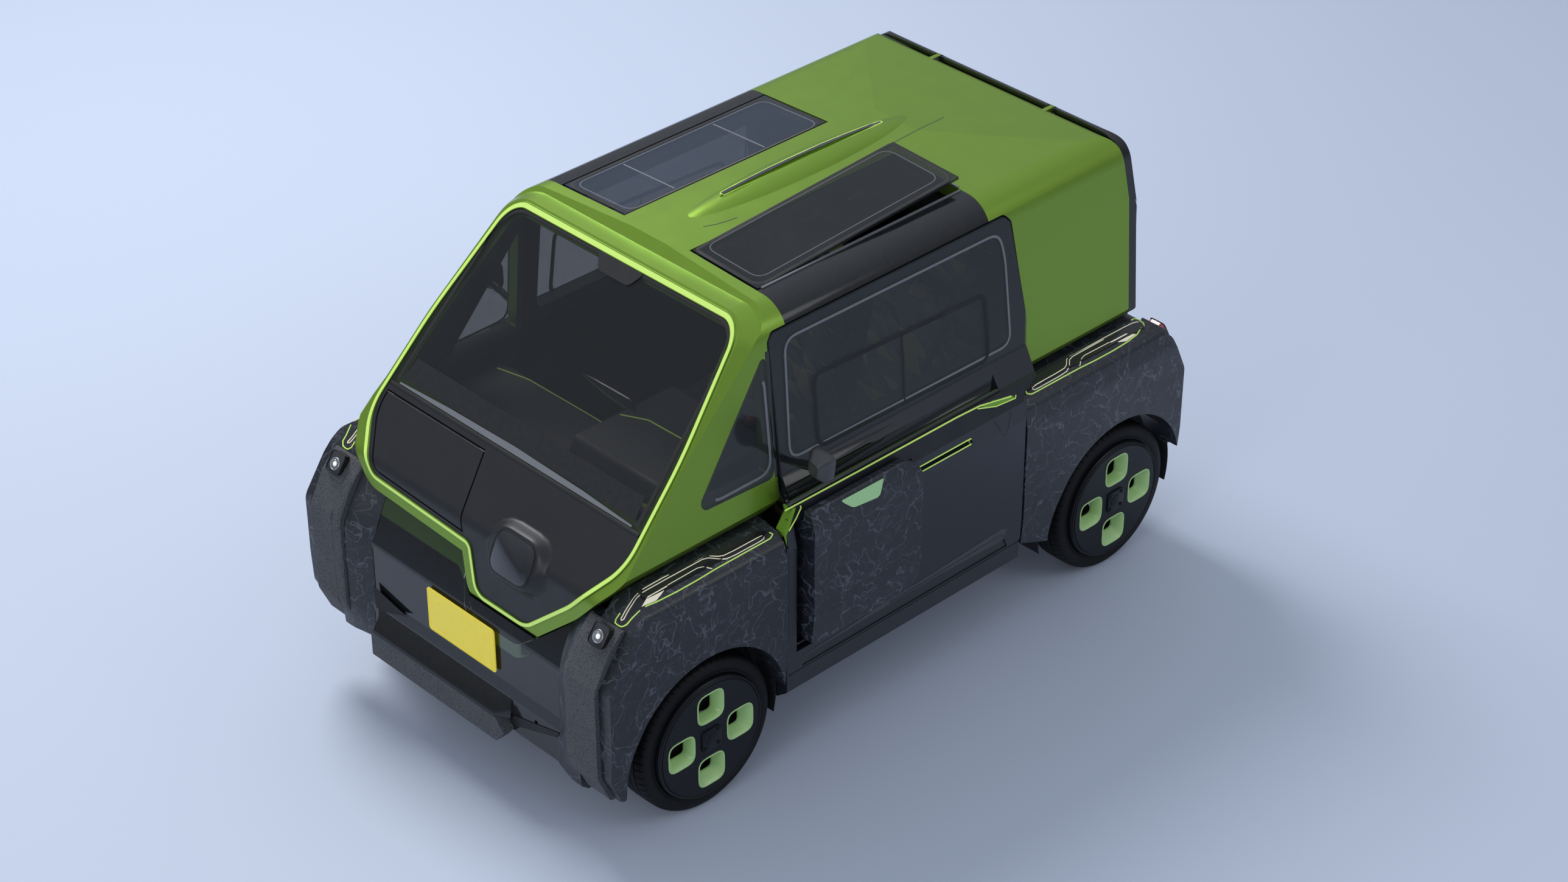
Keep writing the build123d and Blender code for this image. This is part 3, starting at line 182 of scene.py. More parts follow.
GLASS = Finish("tinted_glass", Slot.GLASS, (0.034, 0.037, 0.041), (0.038, 0.042, 0.047), (0.03, 0.05),
               Pattern.GLASS, 20, alpha=0.5)
SCREEN_GLASS = Finish("screen_glass", Slot.GLASS, (0.020, 0.022, 0.025), (0.023, 0.025, 0.029),
                      (0.03, 0.05), Pattern.GLASS, 20, alpha=0.40)
ROOF_GLASS = Finish("roof_glass", Slot.ROOF_GLASS, (0.040, 0.055, 0.085), (0.046, 0.062, 0.095), (0.05, 0.07),
                    Pattern.GLASS, 8, alpha=0.68)
HATCH_GLASS = Finish("hatch_glass", Slot.GLASS, (0.012, 0.0135, 0.017), (0.015, 0.017, 0.021), (0.05, 0.07),
                     Pattern.GLASS, 8, alpha=0.7)
MIRROR = Finish("mirror_glass", Slot.STEEL, (0.30, 0.31, 0.33), (0.33, 0.34, 0.36), (0.04, 0.07),
                Pattern.GRAIN, 30, metallic=1.0)
SATIN = Finish("door_satin", Slot.SATIN, (0.014, 0.017, 0.023), (0.018, 0.021, 0.029), (0.30, 0.38),
               Pattern.GRAIN, 1200, bump=0.00002, metallic=0.2, coat=0.2)
# Paler copy of the door satin: painted highlight on the lower door and the mirror head.
SATIN_HIGHLIGHT = Finish("door_satin_painted_highlight", Slot.SATIN, (0.050, 0.050, 0.053), (0.060, 0.060, 0.063), (0.3, 0.38),
                    Pattern.GRAIN, 1200, bump=0.00002, metallic=0.2, coat=0.2)
MARBLED = Finish("marbled_composite", Slot.MARBLED, (0.013, 0.0155, 0.022), (0.105, 0.115, 0.145),
                 (0.36, 0.46), Pattern.MARBLE, 11, bump=0.0001, coat=0.08)
FOAM = Finish("speckled_foam", Slot.FOAM, (0.085, 0.088, 0.097), (0.012, 0.013, 0.016), (0.75, 0.9),
              Pattern.PITTED, 150, bump=0.0015)
TUB = Finish("moulded_black", Slot.TUB, (0.010, 0.0105, 0.012), (0.018, 0.019, 0.021), (0.55, 0.75),
             Pattern.GRAIN, 900, bump=0.00012)
# The plate glows a little though it is no lamp: painted light that brightens its yellow.
PLATE = Finish("plate_yellow", Slot.PLATE, (0.93, 0.74, 0.035), (0.96, 0.79, 0.06), (0.3, 0.4),
               Pattern.GRAIN, 40, bump=0.00001, coat=0.2, glow=0.12)
LENS = Finish("lamp_lens", Slot.LAMP, (0.55, 0.58, 0.62), (0.7, 0.74, 0.8), (0.02, 0.06),
              Pattern.GLASS, 40, coat=1.0, alpha=0.3)
LAMP_LIGHT = Finish("lamp_core", Slot.LAMP, (0.9, 0.95, 0.85), (1.0, 1.0, 0.95), (0.1, 0.2),
                    Pattern.GRAIN, 100, bump=0.00002, glow=0.7)
RED_LENS = Finish("tail_lens", Slot.LAMP, (0.35, 0.012, 0.01), (0.5, 0.02, 0.015), (0.05, 0.12),
                  Pattern.GLASS, 60, coat=1.0, alpha=0.85, glow=0.08)
CREAM = Finish("cream_light_guide", Slot.LIGHT_BAR, (0.86, 0.80, 0.62), (0.95, 0.88, 0.7), (0.2, 0.3),
               Pattern.GRAIN, 200, bump=0.00001, glow=0.25)
WHEEL = Finish("wheel_dark", Slot.WHEEL, (0.0075, 0.009, 0.012), (0.0095, 0.011, 0.015), (0.34, 0.42),
               Pattern.GRAIN, 700, bump=0.00002, shine=0.22)
FLANGE = Finish("wheel_lime", Slot.WHEEL, (0.42, 0.66, 0.26), (0.48, 0.72, 0.3), (0.28, 0.38),
                Pattern.GRAIN, 400, bump=0.00002, coat=0.3)
RUBBER = Finish("tyre_rubber", Slot.TYRE, (0.0055, 0.0058, 0.007), (0.009, 0.0095, 0.011), (0.55, 0.68),
                Pattern.GRAIN, 500, bump=0.0001, shine=0.2)
STEEL = Finish("machined_steel", Slot.STEEL, (0.42, 0.43, 0.45), (0.56, 0.57, 0.59), (0.25, 0.45),
               Pattern.BRUSHED, 400, bump=0.00004, metallic=1.0)
ALLOY = Finish("battery_alloy", Slot.BATTERY, (0.38, 0.39, 0.41), (0.46, 0.47, 0.49), (0.4, 0.55),
               Pattern.GRAIN, 700, bump=0.00012, metallic=0.9)
CABIN = Finish("cabin_grain", Slot.INTERIOR, (0.085, 0.088, 0.095), (0.11, 0.113, 0.12), (0.5, 0.65),
               Pattern.GRAIN, 420, bump=0.00002)
CABIN_GREY = Finish("cabin_grey", Slot.INTERIOR, (0.16, 0.17, 0.19), (0.19, 0.20, 0.22), (0.4, 0.55),
                    Pattern.GRAIN, 420, bump=0.00002)
FABRIC = Finish("seat_fabric", Slot.FABRIC, (0.16, 0.165, 0.16), (0.50, 0.52, 0.12), (0.8, 0.92),
                Pattern.WEAVE, 500, bump=0.00008)
RED_KEY = Finish("red_key", Slot.INTERIOR, (0.55, 0.02, 0.02), (0.65, 0.03, 0.03), (0.3, 0.4),
                 Pattern.GRAIN, 300, bump=0.00002)
FINISHES = (
    PAINT, SHADE_AND_GLINT_GREEN, POCKET, LIME, MINT, GLOSS, MASK, SCREEN, GASKET, GLASS, SCREEN_GLASS, ROOF_GLASS,
    HATCH_GLASS, MIRROR, SATIN, SATIN_HIGHLIGHT, MARBLED, FOAM, TUB, PLATE, LENS, LAMP_LIGHT, RED_LENS, CREAM,
    WHEEL, FLANGE, RUBBER, STEEL, ALLOY, CABIN, CABIN_GREY, FABRIC, RED_KEY)
COAT_ROUGHNESS = 0.06
BUMP_STRENGTH = 0.6
MOTTLE_SHARE = 90       # a finish's pattern repeats this many times as often as its mottle
PRINT_GROUND = (0.17, 0.18, 0.16)
PRINT_TONES = ((0.06, 0.065, 0.07), (0.24, 0.27, 0.10), (0.5, 0.48, 0.16))
PRINT_SHARES = (0.3, 0.52, 0.66, 0.8, 0.93)
PRINT_REPEATS = (14.0, 16.0)


# ---- materials -----------------------------------------------------------------------
class Sheet:
    """Short-hand for adding and joining nodes in one tree."""

    def __init__(self, tree: Tree) -> None:
        self.tree = tree

    def add(self, kind: str, **inputs: object) -> Node:
        """Adds a node.

        Args:
            kind: Node type, without its "ShaderNode" prefix.
            inputs: Values of inputs by name, with underscores for blanks.

        Returns:
            The new node.
        """
        node = self.tree.nodes.new("ShaderNode" + kind)
        for name, value in inputs.items():
            node.inputs[name.replace("_", " ")].default_value = value
        return node

    def join(self, start: Socket, end: Socket) -> None:
        """Joins two sockets.

        Args:
            start: Output socket.
            end: Input socket.
        """
        self.tree.links.new(start, end)

    def math(self, operation: str, first: object, second: object = 0.0) -> Socket:
        """Adds a math node.

        Args:
            operation: Blender's name of the operation.
            first: First operand, a socket or a number.
            second: Second operand, a socket or a number.

        Returns:
            The result's socket.
        """
        node = self.tree.nodes.new("ShaderNodeMath")
        node.operation = operation
        for index, value in enumerate((first, second)):
            if isinstance(value, Socket):
                self.join(value, node.inputs[index])
            else:
                node.inputs[index].default_value = value
        return node.outputs[0]

    def spread(self, value: Socket, low: float, high: float, start: float = 0.0,
               end: float = 1.0) -> Socket:
        """Maps a value from low..high to start..end, clamped.

        Args:
            value: Value to map.
            low: Input that gives start.
            high: Input that gives end.
            start: Output at low.
            end: Output at high.

        Returns:
            The mapped value's socket.
        """
        node = self.add("MapRange", From_Min=low, From_Max=high, To_Min=start, To_Max=end)
        self.join(value, node.inputs["Value"])
        return node.outputs["Result"]

    def blend(self, factor: Socket, first: Sequence[float],
              second: Sequence[float]) -> Socket:
        """Mixes two colours by a factor.

        Args:
            factor: Socket that gives the share of the second colour.
            first: Colour at 0, linear RGB.
            second: Colour at 1, linear RGB.

        Returns:
            The colour's socket.
        """
        node = self.tree.nodes.new("ShaderNodeMix")
        node.data_type = "RGBA"
        node.inputs[6].default_value = (*first, 1.0)
        node.inputs[7].default_value = (*second, 1.0)
        self.join(factor, node.inputs[0])
        return node.outputs[2]


def new_group(name: str, inputs: Iterable[tuple[str, str, float]],
              outputs: Iterable[str]) -> tuple[Tree, Sheet, Node, Node]:
    """Starts a node group.

    Args:
        name: Name of the group.
        inputs: Name, socket type suffix and default of each input.
        outputs: Names of its float outputs.

    Returns:
        The group, its sheet, its input node and its output node.
    """
    group = bpy.data.node_groups.new(name, "ShaderNodeTree")
    for title, kind, value in inputs:
        socket = group.interface.new_socket(title, in_out="INPUT", socket_type="NodeSocket" + kind)
        if kind == "Float":
            socket.default_value = value
    for title in outputs:
        group.interface.new_socket(title, in_out="OUTPUT", socket_type="NodeSocketFloat")
    return group, Sheet(group), group.nodes.new("NodeGroupInput"), group.nodes.new("NodeGroupOutput")


SPACE = (("Vector", "Vector", 0.0), ("Scale", "Float", 100.0))


def feed(sheet: Sheet, start: Node, node: Node) -> None:
    """Gives a texture the group's coordinates and scale."""
    for name in ("Vector", "Scale"):
        sheet.join(start.outputs[name], node.inputs[name])


def mottle_group() -> Tree:
    """Soft noise from 0 to 1, for small differences of tone and gloss."""
    group, sheet, start, end = new_group("mottle", SPACE, ("Factor",))
    noise = sheet.add("TexNoise", Detail=3.0)
    feed(sheet, start, noise)
    sheet.join(sheet.spread(noise.outputs["Fac"], 0.35, 0.65), end.inputs["Factor"])
    return group


def grain_group() -> Tree:
    """Fine leather-like relief with a tone that follows it."""
    group, sheet, start, end = new_group("grain", SPACE, ("Factor", "Height"))
    noise = sheet.add("TexNoise", Detail=2.0)
    cells = sheet.add("TexVoronoi")
    for node in (noise, cells):
        feed(sheet, start, node)
    tone = sheet.spread(noise.outputs["Fac"], 0.3, 0.7)
    height = sheet.math("ADD", sheet.math("MULTIPLY", tone, 0.5),
                        sheet.math("MULTIPLY", cells.outputs["Distance"], 0.5))
    sheet.join(tone, end.inputs["Factor"])
    sheet.join(height, end.inputs["Height"])
    return group


def pitted_group() -> Tree:
    """Dark pits and specks of a foamed surface."""
    group, sheet, start, end = new_group("pitted", SPACE, ("Factor", "Height"))
    cells = sheet.add("TexVoronoi", Randomness=1.0)
    noise = sheet.add("TexNoise", Detail=4.0)
    size = sheet.math("MULTIPLY", start.outputs["Scale"], 2.3)
    for node, scale in ((cells, start.outputs["Scale"]), (noise, size)):
        sheet.join(start.outputs["Vector"], node.inputs["Vector"])
        sheet.join(scale, node.inputs["Scale"])
    pit = sheet.spread(cells.outputs["Distance"], 0.16, 0.34, 1.0, 0.0)
    speck = sheet.spread(noise.outputs["Fac"], 0.55, 0.68)
    factor = sheet.math("MAXIMUM", pit, sheet.math("MULTIPLY", speck, 0.55))
    sheet.join(factor, end.inputs["Factor"])
    sheet.join(sheet.math("SUBTRACT", 1.0, factor), end.inputs["Height"])
    return group


def marble_group() -> Tree:
    """Thin pale veins that swirl over a dark ground."""
    group, sheet, start, end = new_group("marble", SPACE, ("Factor", "Height"))
    bend = sheet.add("TexNoise", Detail=3.0)
    sheet.join(start.outputs["Vector"], bend.inputs["Vector"])
    sheet.join(sheet.math("MULTIPLY", start.outputs["Scale"], 0.5), bend.inputs["Scale"])
    shift = sheet.tree.nodes.new("ShaderNodeVectorMath")
    shift.operation = "SCALE"
    shift.inputs["Scale"].default_value = 0.22
    sheet.join(bend.outputs["Color"], shift.inputs[0])
    place = sheet.tree.nodes.new("ShaderNodeVectorMath")
    sheet.join(start.outputs["Vector"], place.inputs[0])
    sheet.join(shift.outputs["Vector"], place.inputs[1])
    veins = []
    for scale, width in ((1.0, 0.016), (2.3, 0.014)):
        noise = sheet.add("TexNoise", Detail=2.0)
        sheet.join(place.outputs["Vector"], noise.inputs["Vector"])
        sheet.join(sheet.math("MULTIPLY", start.outputs["Scale"], scale), noise.inputs["Scale"])
        off = sheet.math("ABSOLUTE", sheet.math("SUBTRACT", noise.outputs["Fac"], 0.5))
        veins.append(sheet.spread(off, 0.0, width, 1.0, 0.0))
    fine = sheet.math("MULTIPLY", veins[1], 0.6)
    factor = sheet.math("MULTIPLY", sheet.math("MAXIMUM", veins[0], fine), 0.8)
    sheet.join(factor, end.inputs["Factor"])
    sheet.join(factor, end.inputs["Height"])
    return group


def brushed_group() -> Tree:
    """Fine lines along X, as of a machined part."""
    group, sheet, start, end = new_group("brushed", SPACE, ("Factor", "Height"))
    stretch = sheet.add("Mapping", Scale=(0.04, 1.0, 1.0))
    noise = sheet.add("TexNoise", Detail=2.0)
    sheet.join(start.outputs["Vector"], stretch.inputs["Vector"])
    sheet.join(stretch.outputs["Vector"], noise.inputs["Vector"])
    sheet.join(start.outputs["Scale"], noise.inputs["Scale"])
    sheet.join(noise.outputs["Fac"], end.inputs["Factor"])
    sheet.join(noise.outputs["Fac"], end.inputs["Height"])
    return group


def weave_group() -> Tree:
    """Plain weave: threads crossing at right angles on every face of a pad."""
    group, sheet, start, end = new_group("weave", SPACE, ("Factor", "Height"))
    split = sheet.tree.nodes.new("ShaderNodeSeparateXYZ")
    sheet.join(start.outputs["Vector"], split.inputs["Vector"])
    waves = []
    for axis in "XYZ":
        turn = sheet.math("MULTIPLY", split.outputs[axis], start.outputs["Scale"])
        waves.append(sheet.math("ABSOLUTE", sheet.math("SINE", turn)))
    first = sheet.math("MULTIPLY", waves[0], waves[1])
    height = sheet.math("MAXIMUM", first, sheet.math("MULTIPLY", waves[0], waves[2]))
    sheet.join(height, end.inputs["Height"])
    sheet.join(sheet.spread(height, 0.2, 0.9), end.inputs["Factor"])
    return group


GROUP_MAKERS: dict[Pattern, Callable[[], Tree]] = {
    Pattern.GRAIN: grain_group, Pattern.PITTED: pitted_group, Pattern.MARBLE: marble_group,
    Pattern.BRUSHED: brushed_group, Pattern.WEAVE: weave_group,
}


class Materials:
    """All finishes as node materials, on shared node groups."""

    def __init__(self) -> None:
        self.mottle = mottle_group()
        self.groups = {pattern: make() for pattern, make in GROUP_MAKERS.items()}
        self.made = {finish.name: self.build(finish) for finish in FINISHES}
        LOG.info("materials: %d", len(self.made))

    def __getitem__(self, finish: Finish) -> bpy.types.Material:
        """Gives the material of a finish."""
        return self.made[finish.name]

    def build(self, finish: Finish) -> bpy.types.Material:
        """Builds one material.

        Args:
            finish: The finish to show.

        Returns:
            The new material.
        """
        material = bpy.data.materials.new(finish.name)
        material.use_nodes = True
        sheet = Sheet(material.node_tree)
        shader = material.node_tree.nodes["Principled BSDF"]
        shader.inputs["Metallic"].default_value = finish.metallic
        shader.inputs["Coat Weight"].default_value = finish.coat
        shader.inputs["Coat Roughness"].default_value = COAT_ROUGHNESS
        shader.inputs["Alpha"].default_value = finish.alpha
        shader.inputs["Specular IOR Level"].default_value = finish.shine
        if finish.glow:
            shader.inputs["Emission Color"].default_value = (*finish.color, 1.0)
            shader.inputs["Emission Strength"].default_value = finish.glow
        coords = material.node_tree.nodes.new("ShaderNodeTexCoord").outputs["Object"]
        tone = self.use(sheet, self.mottle, coords, max(4.0, finish.scale / MOTTLE_SHARE))
        sheet.join(sheet.spread(tone.outputs["Factor"], 0.0, 1.0, *finish.roughness),
                   shader.inputs["Roughness"])
        if finish.pattern == Pattern.GLASS:
            color = sheet.blend(tone.outputs["Factor"], finish.color, finish.accent)
        elif finish.pattern == Pattern.FLAKE:
            color = self.flakes(sheet, coords, finish)
        elif finish.pattern == Pattern.WEAVE:
            color = self.triangles(sheet, coords, finish)
        else:
            color = None
        if finish.pattern in self.groups:
            relief = self.use(sheet, self.groups[finish.pattern], coords, finish.scale)
            if color is None:
                color = sheet.blend(relief.outputs["Factor"], finish.color, finish.accent)
            if finish.bump:
                bump = sheet.add("Bump", Strength=BUMP_STRENGTH, Distance=finish.bump)
                sheet.join(relief.outputs["Height"], bump.inputs["Height"])
                sheet.join(bump.outputs["Normal"], shader.inputs["Normal"])
        sheet.join(color, shader.inputs["Base Color"])
        return material

    def use(self, sheet: Sheet, group: Tree, vector: Socket,
            scale: float) -> Node:
        """Adds a group to a material.

        Args:
            sheet: The material's sheet.
            group: The node group.
            vector: Coordinates for it.
            scale: Its scale.

        Returns:
            The group's node.
        """
        node = sheet.tree.nodes.new("ShaderNodeGroup")
        node.node_tree = group
        node.inputs["Scale"].default_value = scale
        sheet.join(vector, node.inputs["Vector"])
        return node

    def flakes(self, sheet: Sheet, coords: Socket,
               finish: Finish) -> Socket:
        """Metal flakes in a paint, each with its own tone.

        Args:
            sheet: The material's sheet.
            coords: Coordinates on the piece.
            finish: The finish to show.

        Returns:
            The colour's socket.
        """
        cells = sheet.add("TexVoronoi", Scale=finish.scale)
        sheet.join(coords, cells.inputs["Vector"])
        split = sheet.tree.nodes.new("ShaderNodeSeparateColor")
        sheet.join(cells.outputs["Color"], split.inputs["Color"])
        return sheet.blend(split.outputs["Red"], finish.color, finish.accent)

    def triangles(self, sheet: Sheet, coords: Socket,
                  finish: Finish) -> Socket:
        """A field of small triangles in a few tones, over the woven ground.

        Args:
            sheet: The material's sheet.
            coords: Coordinates on the piece.
            finish: The finish to show.

        Returns:
            The colour's socket.
        """
        split = sheet.tree.nodes.new("ShaderNodeSeparateXYZ")
        sheet.join(coords, split.inputs["Vector"])
        long, wide = PRINT_REPEATS
        along = sheet.math("ADD", sheet.math("MULTIPLY", split.outputs["Y"], long),
                           sheet.math("MULTIPLY", split.outputs["Z"], long))
        across = sheet.math("ADD", sheet.math("MULTIPLY", split.outputs["X"], wide),
                            sheet.math("MULTIPLY", along, 0.5))
        half = sheet.math("GREATER_THAN", sheet.math("ADD", sheet.math("FRACT", along),
                                                     sheet.math("FRACT", across)), 1.0)
        cell = sheet.tree.nodes.new("ShaderNodeCombineXYZ")
        sheet.join(sheet.math("FLOOR", along), cell.inputs["X"])
        sheet.join(sheet.math("FLOOR", across), cell.inputs["Y"])
        sheet.join(half, cell.inputs["Z"])
        noise = sheet.tree.nodes.new("ShaderNodeTexWhiteNoise")
        sheet.join(cell.outputs["Vector"], noise.inputs["Vector"])
        ramp = sheet.tree.nodes.new("ShaderNodeValToRGB")
        ramp.color_ramp.interpolation = "CONSTANT"
        elements = ramp.color_ramp.elements
        elements[0].color = (*finish.color, 1.0)
        elements[1].position = PRINT_SHARES[0]
        elements[1].color = (*PRINT_GROUND, 1.0)
        for position, tone in zip(PRINT_SHARES[1:], (finish.accent, *PRINT_TONES)):
            elements.new(position).color = (*tone, 1.0)
        sheet.join(noise.outputs["Value"], ramp.inputs["Fac"])
        return ramp.outputs["Color"]


# ---- mesh tools ----------------------------------------------------------------------
def vec(x: float, y: float, z: float) -> Vector:
    """A point given in millimetres."""
    return Vector((x, y, z)) * MM


def loft(bm: Mesh, rings: Sequence[Ring], closed: bool = False) -> None:
    """Extrudes a ring through a row of rings that have as many points each.

    Args:
        bm: Mesh to add to.
        rings: The rings, in order.
        closed: Whether the last ring joins the first, else both ends get a cap.
    """
    first = [bm.verts.new(point) for point in rings[0]]
    face = bm.faces.new(first)
    for ring in [*rings[1:], rings[0]] if closed else rings[1:]:
        face = bmesh.ops.extrude_discrete_faces(bm, faces=[face])["faces"][0]
        for vertex, point in zip(face.verts, ring):
            vertex.co = point
    if closed:
        last = list(face.verts)
        bmesh.ops.delete(bm, geom=[face], context="FACES_ONLY")
        bmesh.ops.weld_verts(bm, targetmap=dict(zip(last, first)))
    else:
        bm.faces.new(first[::-1])


def directions(points: Ring, closed: bool) -> list[Vector]:
    """Direction of a path at each of its points.

    Args:
        points: The path.
        closed: Whether it closes.

    Returns:
        A unit vector for each point.
    """
    count = len(points)
    result = []
    for index in range(count):
        before = points[index - 1] if closed or index else points[index]
        after = points[(index + 1) % count] if closed or index < count - 1 else points[index]
        result.append((after - before).normalized())
    return result


def eased(points: Ring, closed: bool = False, rounds: int = 3) -> list[Vector]:
    """Evens out small steps of height along a path, its ends kept.

    Args:
        points: The path.
        closed: Whether it closes.
        rounds: How often it is evened out.

    Returns:
        The new path.
    """
    points = [point.copy() for point in points]
    count = len(points)
    for _ in range(rounds):
        before = [point.copy() for point in points]
        for k in range(count):
            if closed or 0 < k < count - 1:
                points[k].z = (before[k - 1].z + 2 * before[k].z + before[(k + 1) % count].z) / 4
    return points


def tube(bm: Mesh, points: Ring, radius: float, sides: int = 10,
         closed: bool = False) -> None:
    """Adds a round bar along a path.

    Args:
        bm: Mesh to add to.
        points: The path.
        radius: Radius of the bar.
        sides: Corners of its section.
        closed: Whether the path closes.
    """
    ways = directions(points, closed)
    side = ways[0].orthogonal().normalized()
    rings = []
    for point, way in zip(points, ways):
        side = (side - way * side.dot(way)).normalized()
        other = way.cross(side)
        rings.append([point + radius * (math.cos(turn) * side + math.sin(turn) * other)
                      for turn in (math.tau * step / sides for step in range(sides))])
    loft(bm, rings, closed)


def ribbon(bm: Mesh, points: Ring, normals: Ring, width: float, lift: float = 0.0012,
           sink: float = 0.0015, closed: bool = False) -> None:
    """Adds a flat strip along a path that lies on a surface.

    Args:
        bm: Mesh to add to.
        points: The path.
        normals: Surface normal at each point.
        width: Width of the strip.
        lift: How far it stands proud.
        sink: How far it reaches below the path.
        closed: Whether the path closes.
    """
    rings = []
    for point, normal, way in zip(points, normals, directions(points, closed)):
        side = way.cross(normal).normalized() * (width / 2)
        inner = side * 0.82
        rings.append([point - side - normal * sink, point - side + normal * lift * 0.4,
                      point - inner + normal * lift, point + inner + normal * lift,
                      point + side + normal * lift * 0.4, point + side - normal * sink])
    loft(bm, rings, closed)


def rounded(corners: Sequence[Point], radius: float, steps: int = 4) -> list[Point]:
    """Rounds the corners of a closed outline.

    Args:
        corners: Its corners.
        radius: Length taken off each side of a corner.
        steps: Pieces of each rounding.

    Returns:
        The new outline.
    """
    outline = []
    for index, corner in enumerate(corners):
        here = Vector(corner)
        before = Vector(corners[index - 1])
        after = Vector(corners[(index + 1) % len(corners)])
        reach = min(radius, (before - here).length / 2.05, (after - here).length / 2.05)
        start = here + (before - here).normalized() * reach
        end = here + (after - here).normalized() * reach
        for step in range(steps + 1):
            t = step / steps
            point = start * (1 - t) ** 2 + here * 2 * t * (1 - t) + end * t * t
            outline.append((point.x, point.y))
    return outline


def box_outline(width: float, height: float, radius: float) -> list[Point]:
    """Rounded rectangle about the origin."""
    w, h = width / 2, height / 2
    return rounded([(-w, -h), (w, -h), (w, h), (-w, h)], radius)


def circle(radius: float, count: int, centre: Point = (0.0, 0.0)) -> list[Point]:
    """Evenly spaced points of a circle."""
    return [(centre[0] + radius * math.cos(turn), centre[1] + radius * math.sin(turn))
            for turn in (math.tau * step / count for step in range(count))]


def spaced(points: Ring, step: float) -> list[Vector]:
    """Fills in a polyline.

    Args:
        points: Its corners.
        step: Longest distance between two points of the result.

    Returns:
        Points along it.
    """
    result = []
    for start, end in zip(points, points[1:]):
        count = max(1, math.ceil((end - start).length / step))
        result.extend(start.lerp(end, k / count) for k in range(count))
    return result + [points[-1]]


def revolve(bm: Mesh, section: Ring, centre: Vector, steps: int) -> None:
    """Spins a closed section right round an axis that runs along X.

    Args:
        bm: Mesh to add to.
        section: Corners of the section.
        centre: A point of the axis.
        steps: Pieces of the turn.
    """
    points = [bm.verts.new(point) for point in section]
    edges = [bm.edges.new(pair) for pair in zip(points, points[1:] + points[:1])]
    bmesh.ops.spin(bm, geom=points + edges, cent=centre, axis=X_AXIS, angle=math.tau, steps=steps,
                   use_merge=True)
    bmesh.ops.remove_doubles(bm, verts=bm.verts[:], dist=WELD)


def thicken(bm: Mesh, shift: Vector) -> None:
    """Makes a plate of an open sheet, whose other side lies a shift away."""
    made = bmesh.ops.extrude_face_region(bm, geom=bm.faces[:])["geom"]
    bmesh.ops.translate(bm, vec=shift, verts=[item for item in made if isinstance(item, bmesh.types.BMVert)])


@dataclass(frozen=True)
class Plane:
    """A place for flat outlines: origin, and the directions of u, v and the normal."""

    origin: Vector
    u: Vector
    v: Vector

    @property
    def normal(self) -> Vector:
        """Direction away from the surface."""
        return self.u.cross(self.v).normalized()

    def at(self, u: float, v: float, w: float = 0.0) -> Vector:
        """The point at u, v and height w."""
        return self.origin + self.u * u + self.v * v + self.normal * w

    def ring(self, outline: Iterable[Point], w: float = 0.0) -> list[Vector]:
        """An outline in space at height w."""
        return [self.at(u, v, w) for u, v in outline]


def merged(bm: Mesh, other: Mesh) -> Mesh:
    """Adds the second mesh to the first and frees the second."""
    mesh = bpy.data.meshes.new("merged")
    other.to_mesh(mesh)
    other.free()
    bm.from_mesh(mesh)
    bpy.data.meshes.remove(mesh)
    return bm


def blanket(bm: Mesh, rows: Sequence[Ring], out: Vector, lift: float = 0.001) -> None:
    """Adds a thin closed sheet through rows of points.

    Args:
        bm: Mesh to add to.
        rows: Rows of equally many points.
        out: Direction in which the sheet stands proud.
        lift: How far it stands proud.
    """
    sheet = bmesh.new()
    first = [sheet.verts.new(point - out * SHEET_SINK) for point in rows[0]]
    edges = [sheet.edges.new(pair) for pair in zip(first, first[1:])]
    for before, row in zip(rows, rows[1:]):
        made = bmesh.ops.extrude_edge_only(sheet, edges=edges)["geom"]
        edges = [item for item in made if isinstance(item, bmesh.types.BMEdge)]
        places = {tuple(round(c, 6) for c in old - out * SHEET_SINK): new - out * SHEET_SINK
                  for old, new in zip(before, row)}
        for vertex in (item for item in made if isinstance(item, bmesh.types.BMVert)):
            vertex.co = places[tuple(round(c, 6) for c in vertex.co)]
    sheet.normal_update()
    if sum(face.normal.dot(out) for face in sheet.faces) < 0:
        bmesh.ops.reverse_faces(sheet, faces=sheet.faces[:])
    thicken(sheet, out * (lift + SHEET_SINK))
    merged(bm, sheet)


def slab(bm: Mesh, plane: Plane, outline: Sequence[Point], low: float, high: float,
         edge: float = 0.001) -> None:
    """Adds a flat plate with a rounded upper edge.

    Args:
        bm: Mesh to add to.
        plane: Place of the outline.
        outline: Its shape.
        low: Height of the lower face.
        high: Height of the upper face.
        edge: Size of the rounded edge.
    """
    centre = Vector((sum(p[0] for p in outline), sum(p[1] for p in outline))) / len(outline)

    def shrunk(amount: float) -> list[Point]:
        """The outline, drawn in towards its centre."""
        result = []
        for point in outline:
            away = Vector(point) - centre
            kept = away * max(0.0, 1 - amount / max(away.length, 1e-6))
            result.append((centre.x + kept.x, centre.y + kept.y))
        return result

    loft(bm, [plane.ring(outline, low), plane.ring(outline, high - edge),
              plane.ring(shrunk(edge * 0.3), high - edge * 0.3), plane.ring(shrunk(edge), high)])


def smooth(obj: Piece, angle: float = 32.0) -> None:
    """Shades an object smooth, with sharp edges above an angle in degrees."""
    for polygon in obj.data.polygons:
        polygon.use_smooth = True
    obj.data.set_sharp_from_angle(angle=math.radians(angle))


